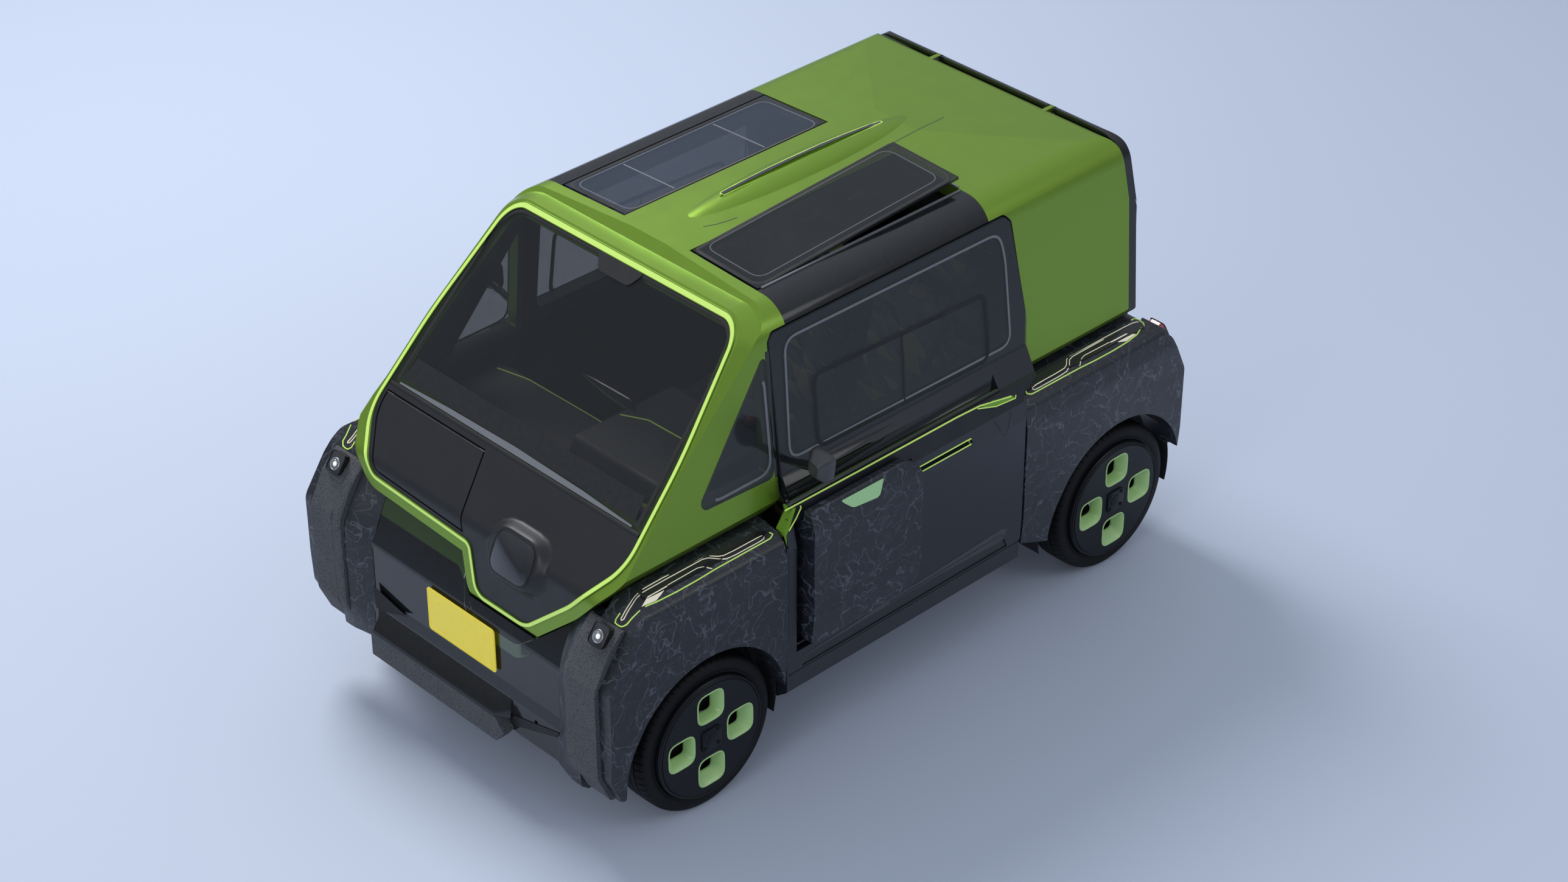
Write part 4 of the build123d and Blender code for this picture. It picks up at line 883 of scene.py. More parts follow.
class Shop:
    """Makes pieces: a mesh, its material and its body in one step."""

    def __init__(self, materials: Materials) -> None:
        self.materials = materials
        self.count = 0

    def piece(self, name: str, bm: Mesh, body: str, finish: Finish,
              angle: float = 32.0) -> Piece:
        """Turns a mesh into a piece of the car.

        Args:
            name: Name of the piece.
            bm: Its mesh, which is used up.
            body: CAD body that it rides on.
            finish: Its finish.
            angle: Edge angle above which shading is sharp.

        Returns:
            The new object.
        """
        bmesh.ops.recalc_face_normals(bm, faces=bm.faces[:])
        mesh = bpy.data.meshes.new(name)
        bm.to_mesh(mesh)
        bm.free()
        obj = bpy.data.objects.new(name, mesh)
        bpy.context.scene.collection.objects.link(obj)
        obj.data.materials.append(self.materials[finish])
        smooth(obj, angle)
        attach(obj, body)
        self.count += 1
        LOG.info("piece %s on %s: %s", name, body, finish.name)
        return obj

    def pair(self, name: str, bm: Mesh, body: str, finish: Finish,
             angle: float = 32.0) -> list[Piece]:
        """Makes a left piece and its mirror image on the right.

        Args:
            name: Name of the pieces, without their side.
            bm: Mesh of the left one.
            body: Body of the left one; its "left" becomes "right" for the other.
            finish: Their finish.
            angle: Edge angle above which shading is sharp.

        Returns:
            Both objects.
        """
        other = bm.copy()
        bmesh.ops.transform(other, matrix=Matrix.Diagonal((-1, 1, 1, 1)), verts=other.verts[:])
        return [self.piece(f"{name}_left", bm, body, finish, angle),
                self.piece(f"{name}_right", other, body.replace("left", "right"), finish, angle)]


class Surface:
    """Finds points on the outside of CAD nodes."""

    def __init__(self, nodes: Nodes, *names: str) -> None:
        verts: list[Vector] = []
        faces: list[list[int]] = []
        for name in names:
            start = len(verts)
            mesh = nodes[name].data
            verts.extend(vertex.co.copy() for vertex in mesh.vertices)
            faces.extend([start + index for index in polygon.vertices] for polygon in mesh.polygons)
        self.tree = BVHTree.FromPolygons(verts, faces)

    def path(self, points: Ring, direction: Vector, back: float = 0.4,
             ) -> tuple[list[Vector], list[Vector]]:
        """Drops a path on the surface; points that meet nothing are left out.

        Args:
            points: The path.
            direction: Direction in which it is dropped.
            back: How far before each point the search starts.

        Returns:
            The points met and the normals there, towards the viewer.
        """
        hits = [self.tree.ray_cast(point - direction * back, direction)[:2] for point in points]
        found = [hit for hit in hits if hit[0] is not None]
        return ([place for place, _ in found],
                [normal if normal.dot(direction) < 0 else -normal for _, normal in found])

    def strip(self, bm: Mesh, points: Ring, direction: Vector, width: float, lift: float,
              sink: float = 0.8, closed: bool = False, step: float = 30.0, back: float = 0.0) -> None:
        """Adds a strip along a path dropped on the surface, with its sizes in millimetres.

        Args:
            bm: Mesh to add to.
            points: The path.
            direction: Direction in which it is dropped.
            width: Width of the strip.
            lift: How far it stands proud.
            sink: How far it reaches into the surface.
            closed: Whether the path closes.
            step: Longest distance between two of its points.
            back: How far before each point the search starts, in metres.
        """
        route = spaced([*points, points[0]] if closed else points, step * MM)
        places, normals = self.path(route[:-1] if closed else route, direction, back)
        if len(places) > 1:
            ribbon(bm, places, normals, width * MM, lift * MM, sink * MM, closed)


@dataclass(frozen=True)
class Line:
    """A strip to draw on a surface, in millimetres.

    Attributes:
        points: Its corners, in the plane that it is drawn in.
        width: Its width.
        lift: How far it stands proud.
        radius: Rounding of the corners, for a closed line.
        closed: Whether it closes.
        steps: Pieces of each rounding.
        sink: How far it reaches into the surface.
    """

    points: Sequence[Point]
    width: float
    lift: float
    radius: float = 0.0
    closed: bool = False
    steps: int = 6
    sink: float = 0.8

    def outline(self) -> Sequence[Point]:
        """Its points, the corners rounded."""
        return rounded(self.points, self.radius, self.steps) if self.radius else self.points


@dataclass(frozen=True)
class Workbench:
    """What every builder of pieces needs."""

    shop: Shop
    nodes: Nodes


@dataclass(frozen=True)
class Assembly:
    """What the builders of all sub-assemblies share."""

    bench: Workbench

    @property
    def shop(self) -> Shop:
        """Maker of the pieces."""
        return self.bench.shop

    def surface(self, *names: str) -> Surface:
        """The outside of some CAD nodes."""
        return Surface(self.bench.nodes, *names)


# ---- finishes of the CAD nodes --------------------------------------------------------
NODE_FINISHES: dict[Finish, tuple[str, ...]] = {
    PAINT: ("cabin_shell", "mask_trim"),
    MASK: ("front_mask", "mask_lid"),
    GLOSS: ("nose_panel", "rear_panel", "fender_lights", "door_mirror", "tailgate", "roof_rails",
            "headlamps"),
    SCREEN_GLASS: ("windscreen",),
    GLASS: ("quarter_glasses", "door_glass"),
    ROOF_GLASS: ("roof_hatch_right",),
    HATCH_GLASS: ("roof_hatch_left",),
    SATIN: ("door_panel", "sills"),
    MARBLED: ("fender_front", "fender_rear", "storage_bin"),
    FOAM: ("front_foam", "rear_foam"),
    TUB: ("chassis_tub",),
    PLATE: ("number_plate",),
    RED_LENS: ("tail_lamps",),
    WHEEL: ("wheel",),
    RUBBER: ("tyre",),
    STEEL: ("front_axle", "rear_axle", "knuckle"),
    ALLOY: ("battery",),
    CABIN: ("dashboard", "steering_wheel", "seat_frames"),
    FABRIC: ("seat_cushions", "seat_backs"),
}


def dress_nodes(nodes: Nodes, materials: Materials) -> None:
    """Gives every CAD node its finish.

    Args:
        nodes: CAD nodes by name.
        materials: The finishes.
    """
    for finish, starts in NODE_FINISHES.items():
        for name, node in nodes.items():
            if name.startswith(starts):
                node.data.materials.clear()
                node.data.materials.append(materials[finish])
                LOG.info("node %s: %s", name, finish.name)


# ---- wheels --------------------------------------------------------------------------
@dataclass(frozen=True)
class Tyres(Assembly):
    """Road tyres with grooved tread and notched shoulders, in millimetres."""

    centre_x: float = 587.0
    steps: int = 240
    notch_every: int = 4
    notch_depth: float = 3.5
    section: Outline = (
        (57, 203.4), (59.5, 204.5), (61.5, 208), (61, 212), (63.5, 216), (65, 226), (65, 233),
        (64.5, 240), (62.5, 246), (59, 250.5), (55, 253.3), (50, 255), (42, 256.2), (30, 256.8),
        (28.6, 251.5), (25.4, 251.5), (24, 256.9), (2.2, 257), (1.2, 251.5), (0, 251.5))
    shoulder: Point = (248.0, 256.4)
    shoulder_x: float = 34.0
    notch_share: float = 0.72

    def profile(self) -> list[Point]:
        """Whole cross-section from the outer bead round to the inner one."""
        mirrored = [(-x, r) for x, r in reversed(self.section[:-1])]
        return [*self.section, *mirrored, (-52, 203.4), (52, 203.4)]

    def mesh(self) -> Mesh:
        """One tyre round the X axis."""
        bm = bmesh.new()
        revolve(bm, [vec(x, 0, r) for x, r in self.profile()], Vector(), self.steps)
        pitch = math.tau / self.steps
        low, high = self.shoulder
        for vertex in bm.verts:
            r = math.hypot(vertex.co.y, vertex.co.z) / MM
            if not (low < r < high and self.shoulder_x < abs(vertex.co.x / MM)):
                continue
            turn = math.atan2(vertex.co.y, vertex.co.z)
            place = round(turn / pitch) % self.notch_every
            if place == 0:
                vertex.co *= Vector((1, 1, 1)) * (1 - self.notch_depth / r)
            elif place in (1, self.notch_every - 1):
                shift = pitch * (self.notch_share if place == 1 else -self.notch_share)
                vertex.co.rotate(Matrix.Rotation(shift, 3, "X"))
        return bm

    def build(self) -> None:
        """Makes the four tyres in place of the plain ones."""
        first = self.mesh()
        for end, y in AXLES:
            bm = first.copy()
            bmesh.ops.translate(bm, vec=vec(self.centre_x, y, AXLE_Z), verts=bm.verts[:])
            left, right = self.shop.pair(f"tread_{end}", bm, f"wheel_{end}_left", RUBBER, 24)
            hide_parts(f"tyre_{end}_left")
            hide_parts(f"tyre_{end}_right")
        first.free()


@dataclass(frozen=True)
class WheelTrim(Assembly):
    """Discs with four windows, their pale funnels, bolts and caps, in millimetres."""

    face_x: float = 668.0
    steps: int = 96
    barrel: Outline = ((-2, 190), (-0.6, 193), (-0.2, 194), (-9, 202.6), (-14, 203), (-146, 203),
                       (-146, 194), (-30, 194), (-24, 190))
    plate_radius: float = 191.0
    plate_depth: float = 3.0
    ring: float = 116.0
    mouth: float = 100.0
    funnel: tuple[tuple[float, float, float, float], ...] = (
        (6, 33, -3.5, 0), (6, 33, 1.0, 0), (4, 32, 2.2, 0), (0, 30, 2.4, 0), (-4, 28, 1.2, 0),
        (-14, 24, -8, -2), (-25, 20, -20, -4.5), (-36, 15, -31, -7), (-40, 14, -35, -8),
        (-40, 14, -38, -8), (-33, 17, -33, -7), (-20, 22, -20, -4.5), (-2, 30, -6, 0))
    cap: float = 76.0
    field: float = 44.0
    bolt: Outline = ((6.2, 5.0), (6.2, 8.0), (5.4, 9.6), (3.4, 10.4), (1.2, 10.7))
    bolt_reach: float = 26.0
    seam_radius: float = 199.0

    def disc(self, place: Plane) -> Mesh:
        """Rim barrel with a disc that has four wide windows.

        Args:
            place: Plane of the disc's face.

        Returns:
            Their mesh.
        """
        bm, plate = bmesh.new(), bmesh.new()
        revolve(bm, [place.origin + vec(x, 0, r) for x, r in self.barrel], place.origin, self.steps)
        loops = [circle(self.plate_radius * MM, self.steps)]
        loops += [self.window(turn, (self.mouth + 2) * MM, 31 * MM, self.ring * MM) for turn in range(4)]
        for loop in loops:
            ring = [plate.verts.new(point) for point in place.ring(loop)]
            for pair in zip(ring, ring[1:] + ring[:1]):
                plate.edges.new(pair)
        bmesh.ops.triangle_fill(plate, use_beauty=True, edges=plate.edges[:], normal=X_AXIS)
        bmesh.ops.recalc_face_normals(plate, faces=plate.faces[:])
        thicken(plate, vec(-self.plate_depth, 0, 0))
        return merged(bm, plate)

    def window(self, turn: int, size: float, radius: float, reach: float) -> list[Point]:
        """Outline of one window, a rounded square off the hub.

        Args:
            turn: Number of quarter turns.
            size: Its width.
            radius: Rounding of its corners.
            reach: Distance from the hub.

        Returns:
            The outline.
        """
        spin = Matrix.Rotation(turn * math.pi / 2, 2)
        way = Vector((math.cos(turn * math.pi / 2), math.sin(turn * math.pi / 2))) * reach
        return [tuple(spin @ Vector(point) + way) for point in box_outline(size, size, radius)]

    def flanges(self, place: Plane) -> Mesh:
        """Deep funnel-shaped liners of the four windows."""
        bm = bmesh.new()
        for turn in range(4):
            loft(bm, [place.ring(self.window(turn, (self.mouth + size) * MM, radius * MM,
                                             (self.ring + reach) * MM), height * MM)
                      for size, radius, height, reach in self.funnel], closed=True)
        return bm

    def cover(self, place: Plane) -> Mesh:
        """Rounded square cap with a raised field."""
        bm = bmesh.new()
        slab(bm, place, box_outline(self.cap * MM, self.cap * MM, self.cap / 4 * MM), -2 * MM, 6 * MM,
             2 * MM)
        slab(bm, place, box_outline(self.field * MM, self.field * MM, self.field / 2 * MM), 5 * MM,
             7.5 * MM, 1.2 * MM)
        return bm

    def bolts(self, place: Plane) -> Mesh:
        """Four domed bolts in the cap's corners."""
        bm = bmesh.new()
        reach = self.bolt_reach * MM
        for spot in ((reach, reach), (-reach, reach), (-reach, -reach), (reach, -reach)):
            loft(bm, [place.ring(circle(radius * MM, 16, spot), height * MM)
                      for radius, height in self.bolt])
        return bm

    def rim_ring(self, place: Plane) -> Mesh:
        """Thin dark ring where the disc meets the tyre."""
        bm = bmesh.new()
        tube(bm, place.ring(circle(self.seam_radius * MM, self.steps), -1 * MM), 1.8 * MM, 8, closed=True)
        return bm

    def build(self) -> None:
        """Dresses the four wheels."""
        shop = self.shop
        for end, y in AXLES:
            place = Plane(vec(self.face_x, y, AXLE_Z), Y_AXIS, Z_AXIS)
            body = f"wheel_{end}_left"
            discs = shop.pair(f"wheel_disc_{end}", self.disc(place), body, WHEEL)
            for side, disc in zip(("left", "right"), discs):
                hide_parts(f"wheel_{end}_{side}")
            shop.pair(f"window_flanges_{end}", self.flanges(place), body, FLANGE, 50)
            shop.pair(f"hub_cap_{end}", self.cover(place), body, WHEEL)
            shop.pair(f"cap_bolts_{end}", self.bolts(place), body, WHEEL)
            shop.pair(f"rim_ring_{end}", self.rim_ring(place), body, GASKET)


# ---- fender light tracks -------------------------------------------------------------
@dataclass(frozen=True)
class LightTracks(Assembly):
    """Light tracks on top of the fenders; plan points (x, y) of the front left one."""

    rim: Outline = (
        (603, -1098), (602, -1113), (608, -1122), (634, -1121), (645, -1112), (648, -1094),
        (657, -1067), (662, -1015), (664, -940), (663.5, -860), (661.5, -790), (661, -640),
        (661, -572), (655, -556), (644, -560))
    loop: Outline = (
        (622, -1107), (618.5, -1090), (617, -1050), (616, -940), (616.5, -800), (622, -780),
        (641, -758), (648, -740), (650, -700), (650.5, -592))
    loop_width: float = 9.0
    sign: Outline = (
        (640.5, -950), (641.5, -1028), (655, -1062), (659, -1012), (651, -985))
    wire: Outline = ((640, -950), (638, -836), (643, -818), (657, -796))
    rear_shift: float = -35.0
    above: float = 1100.0
    step: float = 12.0

    def plan(self, points: Iterable[Point], rear: bool) -> list[Vector]:
        """Plan points high above one fender.

        Args:
            points: Plan points of the front track.
            rear: Whether to turn them end for end for the rear track.

        Returns:
            The points, above the car.
        """
        return [vec(x, self.rear_shift - y if rear else y, self.above) for x, y in points]

    def line(self, bm: Mesh, top: Surface, points: Ring, width: float, lift: float,
             closed: bool = False) -> None:
        """Adds a strip along a plan path dropped on the fender, its steps evened out.

        Args:
            bm: Mesh to add to.
            top: The fender's surface.
            points: The plan path.
            width: Width of the strip.
            lift: How far it stands proud.
            closed: Whether the path closes.
        """
        path = spaced(points + points[:1] if closed else points, self.step * MM)
        places, normals = top.path(path[:-1] if closed else path, -Z_AXIS, 0.0)
        ribbon(bm, eased(places, closed), eased(normals, closed), width * MM, lift * MM, 1.2 * MM, closed)

    def loop_path(self, rear: bool) -> list[Vector]:
        """Closed outline of the double line."""
        middle = self.plan(self.loop, rear)
        ways = directions(middle, False)
        half = self.loop_width / 2 * MM
        sides = [Vector((-way.y, way.x, 0)) * half for way in ways]
        left = [point + side for point, side in zip(middle, sides)]
        right = [point - side for point, side in zip(middle, sides)]
        caps = [middle[-1] + ways[-1] * half * 1.2, middle[0] - ways[0] * half * 1.2]
        return [*left, caps[0], *reversed(right), caps[1]]

    def build(self) -> None:
        """Makes the lines of all four tracks."""
        for rear in (False, True):
            end = "rear" if rear else "front"
            top = self.surface(f"fender_{end}_left", "fender_lights", "rear_foam",
                          "front_foam")
            rim, cream = bmesh.new(), bmesh.new()
            self.line(rim, top, self.plan(self.rim, rear), 4.0, 1.6)
            self.line(cream, top, self.loop_path(rear), 2.6, 1.5, closed=True)
            self.line(cream, top, self.plan(self.wire, rear), 2.2, 1.5)
            sign = self.plan(self.sign, rear)
            places, normals = top.path(sign, -Z_AXIS, 0.0)
            if rear:
                places, normals = places[::-1], normals[::-1]
            lifted = [place + normal * 1.4 * MM for place, normal in zip(places, normals)]
            loft(cream, [places, lifted])
            shop = self.shop
            shop.pair(f"light_rim_{end}", rim, "body", LIME)
            shop.pair(f"light_lines_{end}", cream, "body", CREAM)


# ---- front mask and windscreen -------------------------------------------------------
@dataclass(frozen=True)
class Face(Assembly):
    """Seals, cowl, display and sensor housing of the front, in millimetres."""

    slope: float = math.radians(46.2)
    seam_z: float = 1004.0
    seam_y: float = -982.0
    half: float = 557.0
    line_inset: float = 2.4
    cowl: Outline = ((-520, 4), (-300, 11.34), (0, 15), (300, 11.34), (520, 4))
    border: Outline = ((-543, 960), (-500, 1468), (500, 1468), (543, 960))
    border_low: float = 1010.0
    band: tuple[Point, ...] = ((1026, 519), (1052, 514), (1078, 509))
    corner_flap: tuple[Place, ...] = ((-475, -1116, 864), (-380, -1121, 860), (-360, -1124, 852),
                                      (-343, -1142, 827))
    housing: Outline = ((-66, 1434), (66, 1434), (98, 1472), (-98, 1472))
    pod: Place = (205, -1139, 824)
    pod_tilt: float = math.radians(26)
    pod_steps: int = 8

    def on_slope(self, x: float, z: float) -> Vector:
        """Point of the windscreen's plane at a height."""
        return vec(x, self.seam_y + (z - self.seam_z) / math.tan(self.slope), z)

    def outward(self) -> Vector:
        """Normal of the windscreen."""
        return Vector((0, -math.sin(self.slope), math.cos(self.slope)))

    def before(self, x: float, z: float) -> Vector:
        """Point 0.1 m in front of the windscreen's plane."""
        return self.on_slope(x, z) + self.outward() * 0.1

    def trim_line(self) -> None:
        """Lime line along the middle of the trim."""
        bm = bmesh.new()
        bm.from_mesh(self.bench.nodes["mask_trim"].data)
        bmesh.ops.remove_doubles(bm, verts=bm.verts[:], dist=WELD)
        bmesh.ops.recalc_face_normals(bm, faces=bm.faces[:])
        bm.normal_update()
        bmesh.ops.delete(bm, geom=[face for face in bm.faces if face.normal.y > -0.4], context="FACES")
        rim = bmesh.ops.inset_region(bm, faces=bm.faces[:], thickness=self.line_inset * MM,
                                     use_boundary=True, use_even_offset=True)
        bmesh.ops.delete(bm, geom=rim["faces"], context="FACES")
        thicken(bm, self.outward() * 0.9 * MM)
        self.shop.piece("trim_line", bm, "body", LIME, 40)

    def seam(self) -> None:
        """Black seal between windscreen and mask, with the pale cowl strip above it."""
        out = self.outward()
        seal, cowl = bmesh.new(), bmesh.new()
        path = [self.on_slope(x, self.seam_z) for x in (-self.half, 0, self.half)]
        ribbon(seal, path, [out] * 3, 13 * MM, 1.2 * MM, 8 * MM)
        self.shop.piece("screen_seal", seal, "body", GASKET)
        rings = []
        for x, width in self.cowl:
            low, high = self.on_slope(x, self.seam_z + 7), self.on_slope(x, self.seam_z + 7 + width)
            rings.append([low, low + out * 2.5 * MM, high + out * 2.5 * MM, high])
        loft(cowl, rings)
        self.shop.piece("cowl_strip", cowl, "body", CABIN_GREY)

    def frit(self) -> None:
        """Black border inside the windscreen's trim, with a band along its foot."""
        bm, band = bmesh.new(), bmesh.new()
        glass = self.surface("windscreen")
        out = self.outward()
        border = [self.before(x, z) for x, z in rounded(self.border, 92, 10) if z > self.border_low]
        glass.strip(bm, border, -out, 12, 0.6, 0.6)
        self.shop.piece("screen_frit", bm, "body", GASKET)
        rows = [glass.path([self.before(x, z) for x in (-half, -260, 0, 260, half)], -out, 0.0)[0]
                for z, half in self.band]
        blanket(band, rows, out, 0.5 * MM)
        self.shop.piece("screen_band", band, "body", GLOSS)

    def flap(self) -> None:
        """Seam of a small flap in the lid's corner."""
        bm = bmesh.new()
        self.surface("mask_lid").strip(
            bm, [vec(*point) for point in self.corner_flap], -self.outward(), 2.0, 0.4, 0.6, step=15,
            back=0.1)
        self.shop.piece("flap_seam", bm, "mask_lid", GASKET)

    def sensor(self) -> None:
        """Trapezoid housing behind the top of the windscreen."""
        bm = bmesh.new()
        outline = rounded(self.housing, 14)
        loft(bm, [[self.on_slope(x, z) + self.outward() * w * MM for x, z in outline] for w in (0.5, 3.0)])
        self.shop.piece("sensor_housing", bm, "body", GASKET)

    def display(self) -> None:
        """Soft blister of the mask with a small display in it."""
        plane = Plane(vec(*self.pod), X_AXIS, Vector((0, math.sin(self.pod_tilt), math.cos(self.pod_tilt))))
        base = plane.ring(box_outline(270 * MM, 200 * MM, 96 * MM), 60 * MM)
        foot, _ = self.surface("front_mask").path(base, -plane.normal, 0.0)
        if len(foot) != len(base):
            raise ValueError("the blister's foot leaves the mask")
        top = plane.ring(box_outline(178 * MM, 142 * MM, 48 * MM), 20 * MM)
        shroud, glass, frame = bmesh.new(), bmesh.new(), bmesh.new()
        rings = [[point - plane.normal * 2 * MM for point in foot]]
        for step in range(self.pod_steps + 1):
            share = step / self.pod_steps
            rings.append([self.risen(low, high, share, plane.normal) for low, high in zip(foot, top)])
        loft(shroud, rings)
        slab(glass, plane, box_outline(164 * MM, 128 * MM, 42 * MM), 16 * MM, 21.4 * MM, 0.8 * MM)
        tube(frame, plane.ring(box_outline(168 * MM, 132 * MM, 44 * MM), 20.6 * MM), 1.3 * MM, 8,
             closed=True)
        self.shop.piece("display_blister", shroud, "body", MASK, 60)
        self.shop.piece("front_display", glass, "body", SCREEN)
        self.shop.piece("display_frame", frame, "body", GASKET)

    def risen(self, low: Vector, high: Vector, share: float, out: Vector) -> Vector:
        """Point between two, moving sideways evenly and outwards by an S-curve.

        Args:
            low: Point at share 0.
            high: Point at share 1.
            share: How far along.
            out: Outward direction.

        Returns:
            The point.
        """
        step = high - low
        up = out * step.dot(out)
        return low + (step - up) * share + up * share * share * (3 - 2 * share)

    def build(self) -> None:
        """Makes all parts of the face."""
        for part in (self.trim_line, self.seam, self.frit, self.flap, self.sensor, self.display):
            part()


# ---- doors ---------------------------------------------------------------------------
@dataclass(frozen=True)
class DoorTrim(Assembly):
    """Lines, tabs and frames of the left door, mirrored to the right, in millimetres."""

    outside: float = 800.0
    belt: tuple[Place, ...] = ((656, -508, 912), (659, -450, 914), (661, -200, 914), (661, 200, 914),
                               (663, 300, 912), (672, 430, 893))
    bar: tuple[Place, Place] = ((640, -476, 910), (640, 396, 910))
    slot: Point = (-12.0, 236.0)
    slot_z: Point = (819.0, 837.0)
    tab: Outline = ((-348, 903), (-336, 890), (-312, 869), (-300, 865), (-212, 857), (-199, 861),
                    (-180, 890), (-173, 901))
    pane: tuple[Line, ...] = (
        Line(((-312, 1250), (404, 1222), (400, 1008), (-318, 1018)), 15, 1.0, 34, True, 5),
        Line(((47, 1236), (39, 1014)), 7, 1.0))
    window: tuple[Line, ...] = (
        Line(((-432, 1026), (-410, 1402), (478, 1396), (498, 1310), (500, 1018)), 8, 0.6, 46, True, 5),)
    pillar: tuple[Line, ...] = (Line(((-479, 1392), (-479, 985)), 15, 0.8),)
    pane_frame: Outline = ((-740, 1010), (-497, 1010), (-499, 1330))
    arm: tuple[tuple[float, tuple[Place, ...]], ...] = (
        (11, ((600, -464, 1046), (640, -463, 1054), (690, -461, 1066))),
        (14, ((672, -461.5, 1062), (675, -461.4, 1062.6), (716, -459, 1072))))
    mirror_at: Place = (738, -448, 1076)
    mirror_corners: Outline = ((-44, -34), (26, -52), (41, 34), (-38, 54))
    head: Outline = ((0.42, 28), (0.5, 27), (0.93, 6), (0.99, -2), (1.0, -10), (0.99, -24), (0.95, -28),
                     (0.93, -26))
    mirror_pane: Outline = ((0.92, -24), (0.92, -27.4), (0.9, -28))
    rear_pocket: Outline = ((292, 907), (352, 909), (436, 892), (441, 884), (362, 889))
    pocket_edges: tuple[Line, ...] = (
        Line(((288, 908), (362, 888), (444, 882), (449, 890)), 3.4, 2.0),
        Line(((-521, 862), (-484, 883), (-456, 903), (-456, 909)), 3.4, 2.0))
    shield: tuple[Line, ...] = (
        Line(((338, 850), (352, 832), (366, 796), (378, 783), (394, 800), (408, 834), (411, 852)), 1.8, 0.4),)
    # Outline of the pale patch of painted highlight along the lower door's scallop.
    scallop: tuple[Place, ...] = ((-468, 388, 391), (-300, 392, 402), (-150, 396, 412), (100, 392, 421),
                                  (300, 386, 432), (384, 382, 436), (404, 392, 428))

    def drawn(self, node: str, lines: Iterable[Line]) -> Mesh:
        """Draws lines with (y, z) points on the left side of a node.

        Args:
            node: Name of the node.
            lines: The lines.

        Returns:
            Their mesh.
        """
        bm = bmesh.new()
        skin = self.surface(node)
        for line in lines:
            skin.strip(bm, self.beside(line.outline()), -X_AXIS, line.width, line.lift, line.sink,
                       line.closed)
        return bm

    def beside(self, points: Iterable[Point]) -> list[Vector]:
        """Points (y, z) beside the car's left."""
        return [vec(self.outside, y, z) for y, z in points]

    def belt_line(self) -> None:
        """Lime line along the top edge of the door skin."""
        bm = bmesh.new()
        tube(bm, spaced([vec(*point) for point in self.belt], 40 * MM), 2.6 * MM, 8)
        self.shop.pair("belt_line", bm, "door_left", LIME)

    def belt_bar(self) -> None:
        """Bar in the belt channel, dark green all over as a painted green glint."""
        bm = bmesh.new()
        tube(bm, spaced([vec(*point) for point in self.bar], 60 * MM), 10.8 * MM, 20)
        self.shop.pair("belt_bar", bm, "door_left", SHADE_AND_GLINT_GREEN, 50)

    def handle(self) -> None:
        """Lime outline of the handle slot."""
        low, high = self.slot
        bottom, top = self.slot_z
        outline = [(y + (low + high) / 2, z + (bottom + top) / 2)
                   for y, z in box_outline(high - low + 5, top - bottom, 8)]
        bm = bmesh.new()
        self.surface("door_panel_left").strip(
            bm, self.beside(outline), -X_AXIS, 3.6, 2.0, 1.5, True)
        self.shop.pair("handle_outline", bm, "door_left", LIME)

    def bin_tab(self) -> None:
        """Mint pull tab on the top edge of the storage bin."""
        bm = bmesh.new()
        skin = self.surface("storage_bin_left")
        places, _ = skin.path(self.beside(rounded(self.tab, 8, 3)), -X_AXIS, 0.0)
        out = Vector((0.95, 0, 0.3)).normalized()
        loft(bm, [[place + out * w * MM for place in places] for w in (-1.0, 1.6)])
        self.shop.pair("bin_tab", bm, "storage_bin_left", MINT)

    def windows(self) -> None:
        """Frame lines of the door window and its sliding pane."""
        shop = self.shop
        shop.pair("slide_frame", self.drawn("door_glass_left", self.pane), "door_left", GASKET)
        shop.pair("window_frame", self.drawn("door_glass_left", self.window), "door_left", CABIN_GREY)

    def mirror_outline(self, share: float, radius: float, steps: int) -> list[Point]:
        """Outline of the mirror's head, drawn in to a share of its size."""
        return rounded([(u * share * MM, v * share * MM) for u, v in self.mirror_corners],
                       radius * share * MM, steps)

    def mirror(self) -> None:
        """Tapered arm and rounded head with its glass."""
        arm, head, glass = bmesh.new(), bmesh.new(), bmesh.new()
        for radius, points in self.arm:
            tube(arm, [vec(*point) for point in points], radius * MM, 20)
        plane = Plane(vec(*self.mirror_at), Vector((1, 0, 0.05)).normalized(),
                      Vector((-0.05, 0, 1)).normalized())
        loft(head, [plane.ring(self.mirror_outline(share, 20, 4), w * MM) for share, w in self.head])
        loft(glass, [plane.ring(self.mirror_outline(share, 26, 6), w * MM) for share, w in self.mirror_pane])
        shop = self.shop
        shop.pair("mirror_arm", arm, "door_left", GLOSS, 50)
        # The head takes the paler satin: painted highlight.
        heads = shop.pair("mirror_head", head, "door_left", SATIN_HIGHLIGHT, 24)
        for side, piece in zip(("left", "right"), heads):
            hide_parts(f"door_mirror_{side}")
        shop.pair("mirror_glass", glass, "door_left", MIRROR)

    def quarter(self) -> None:
        """Black pillar strip and grey inner frame of the quarter glass."""
        shop = self.shop
        shop.pair("pillar_strip", self.drawn("cabin_shell", self.pillar), "body", GLOSS)
        frame = Line(rounded(self.pane_frame, 50, 5)[3:-3], 9, 0.6)
        shop.pair("quarter_frame", self.drawn("quarter_glasses", (frame,)), "body", CABIN_GREY)

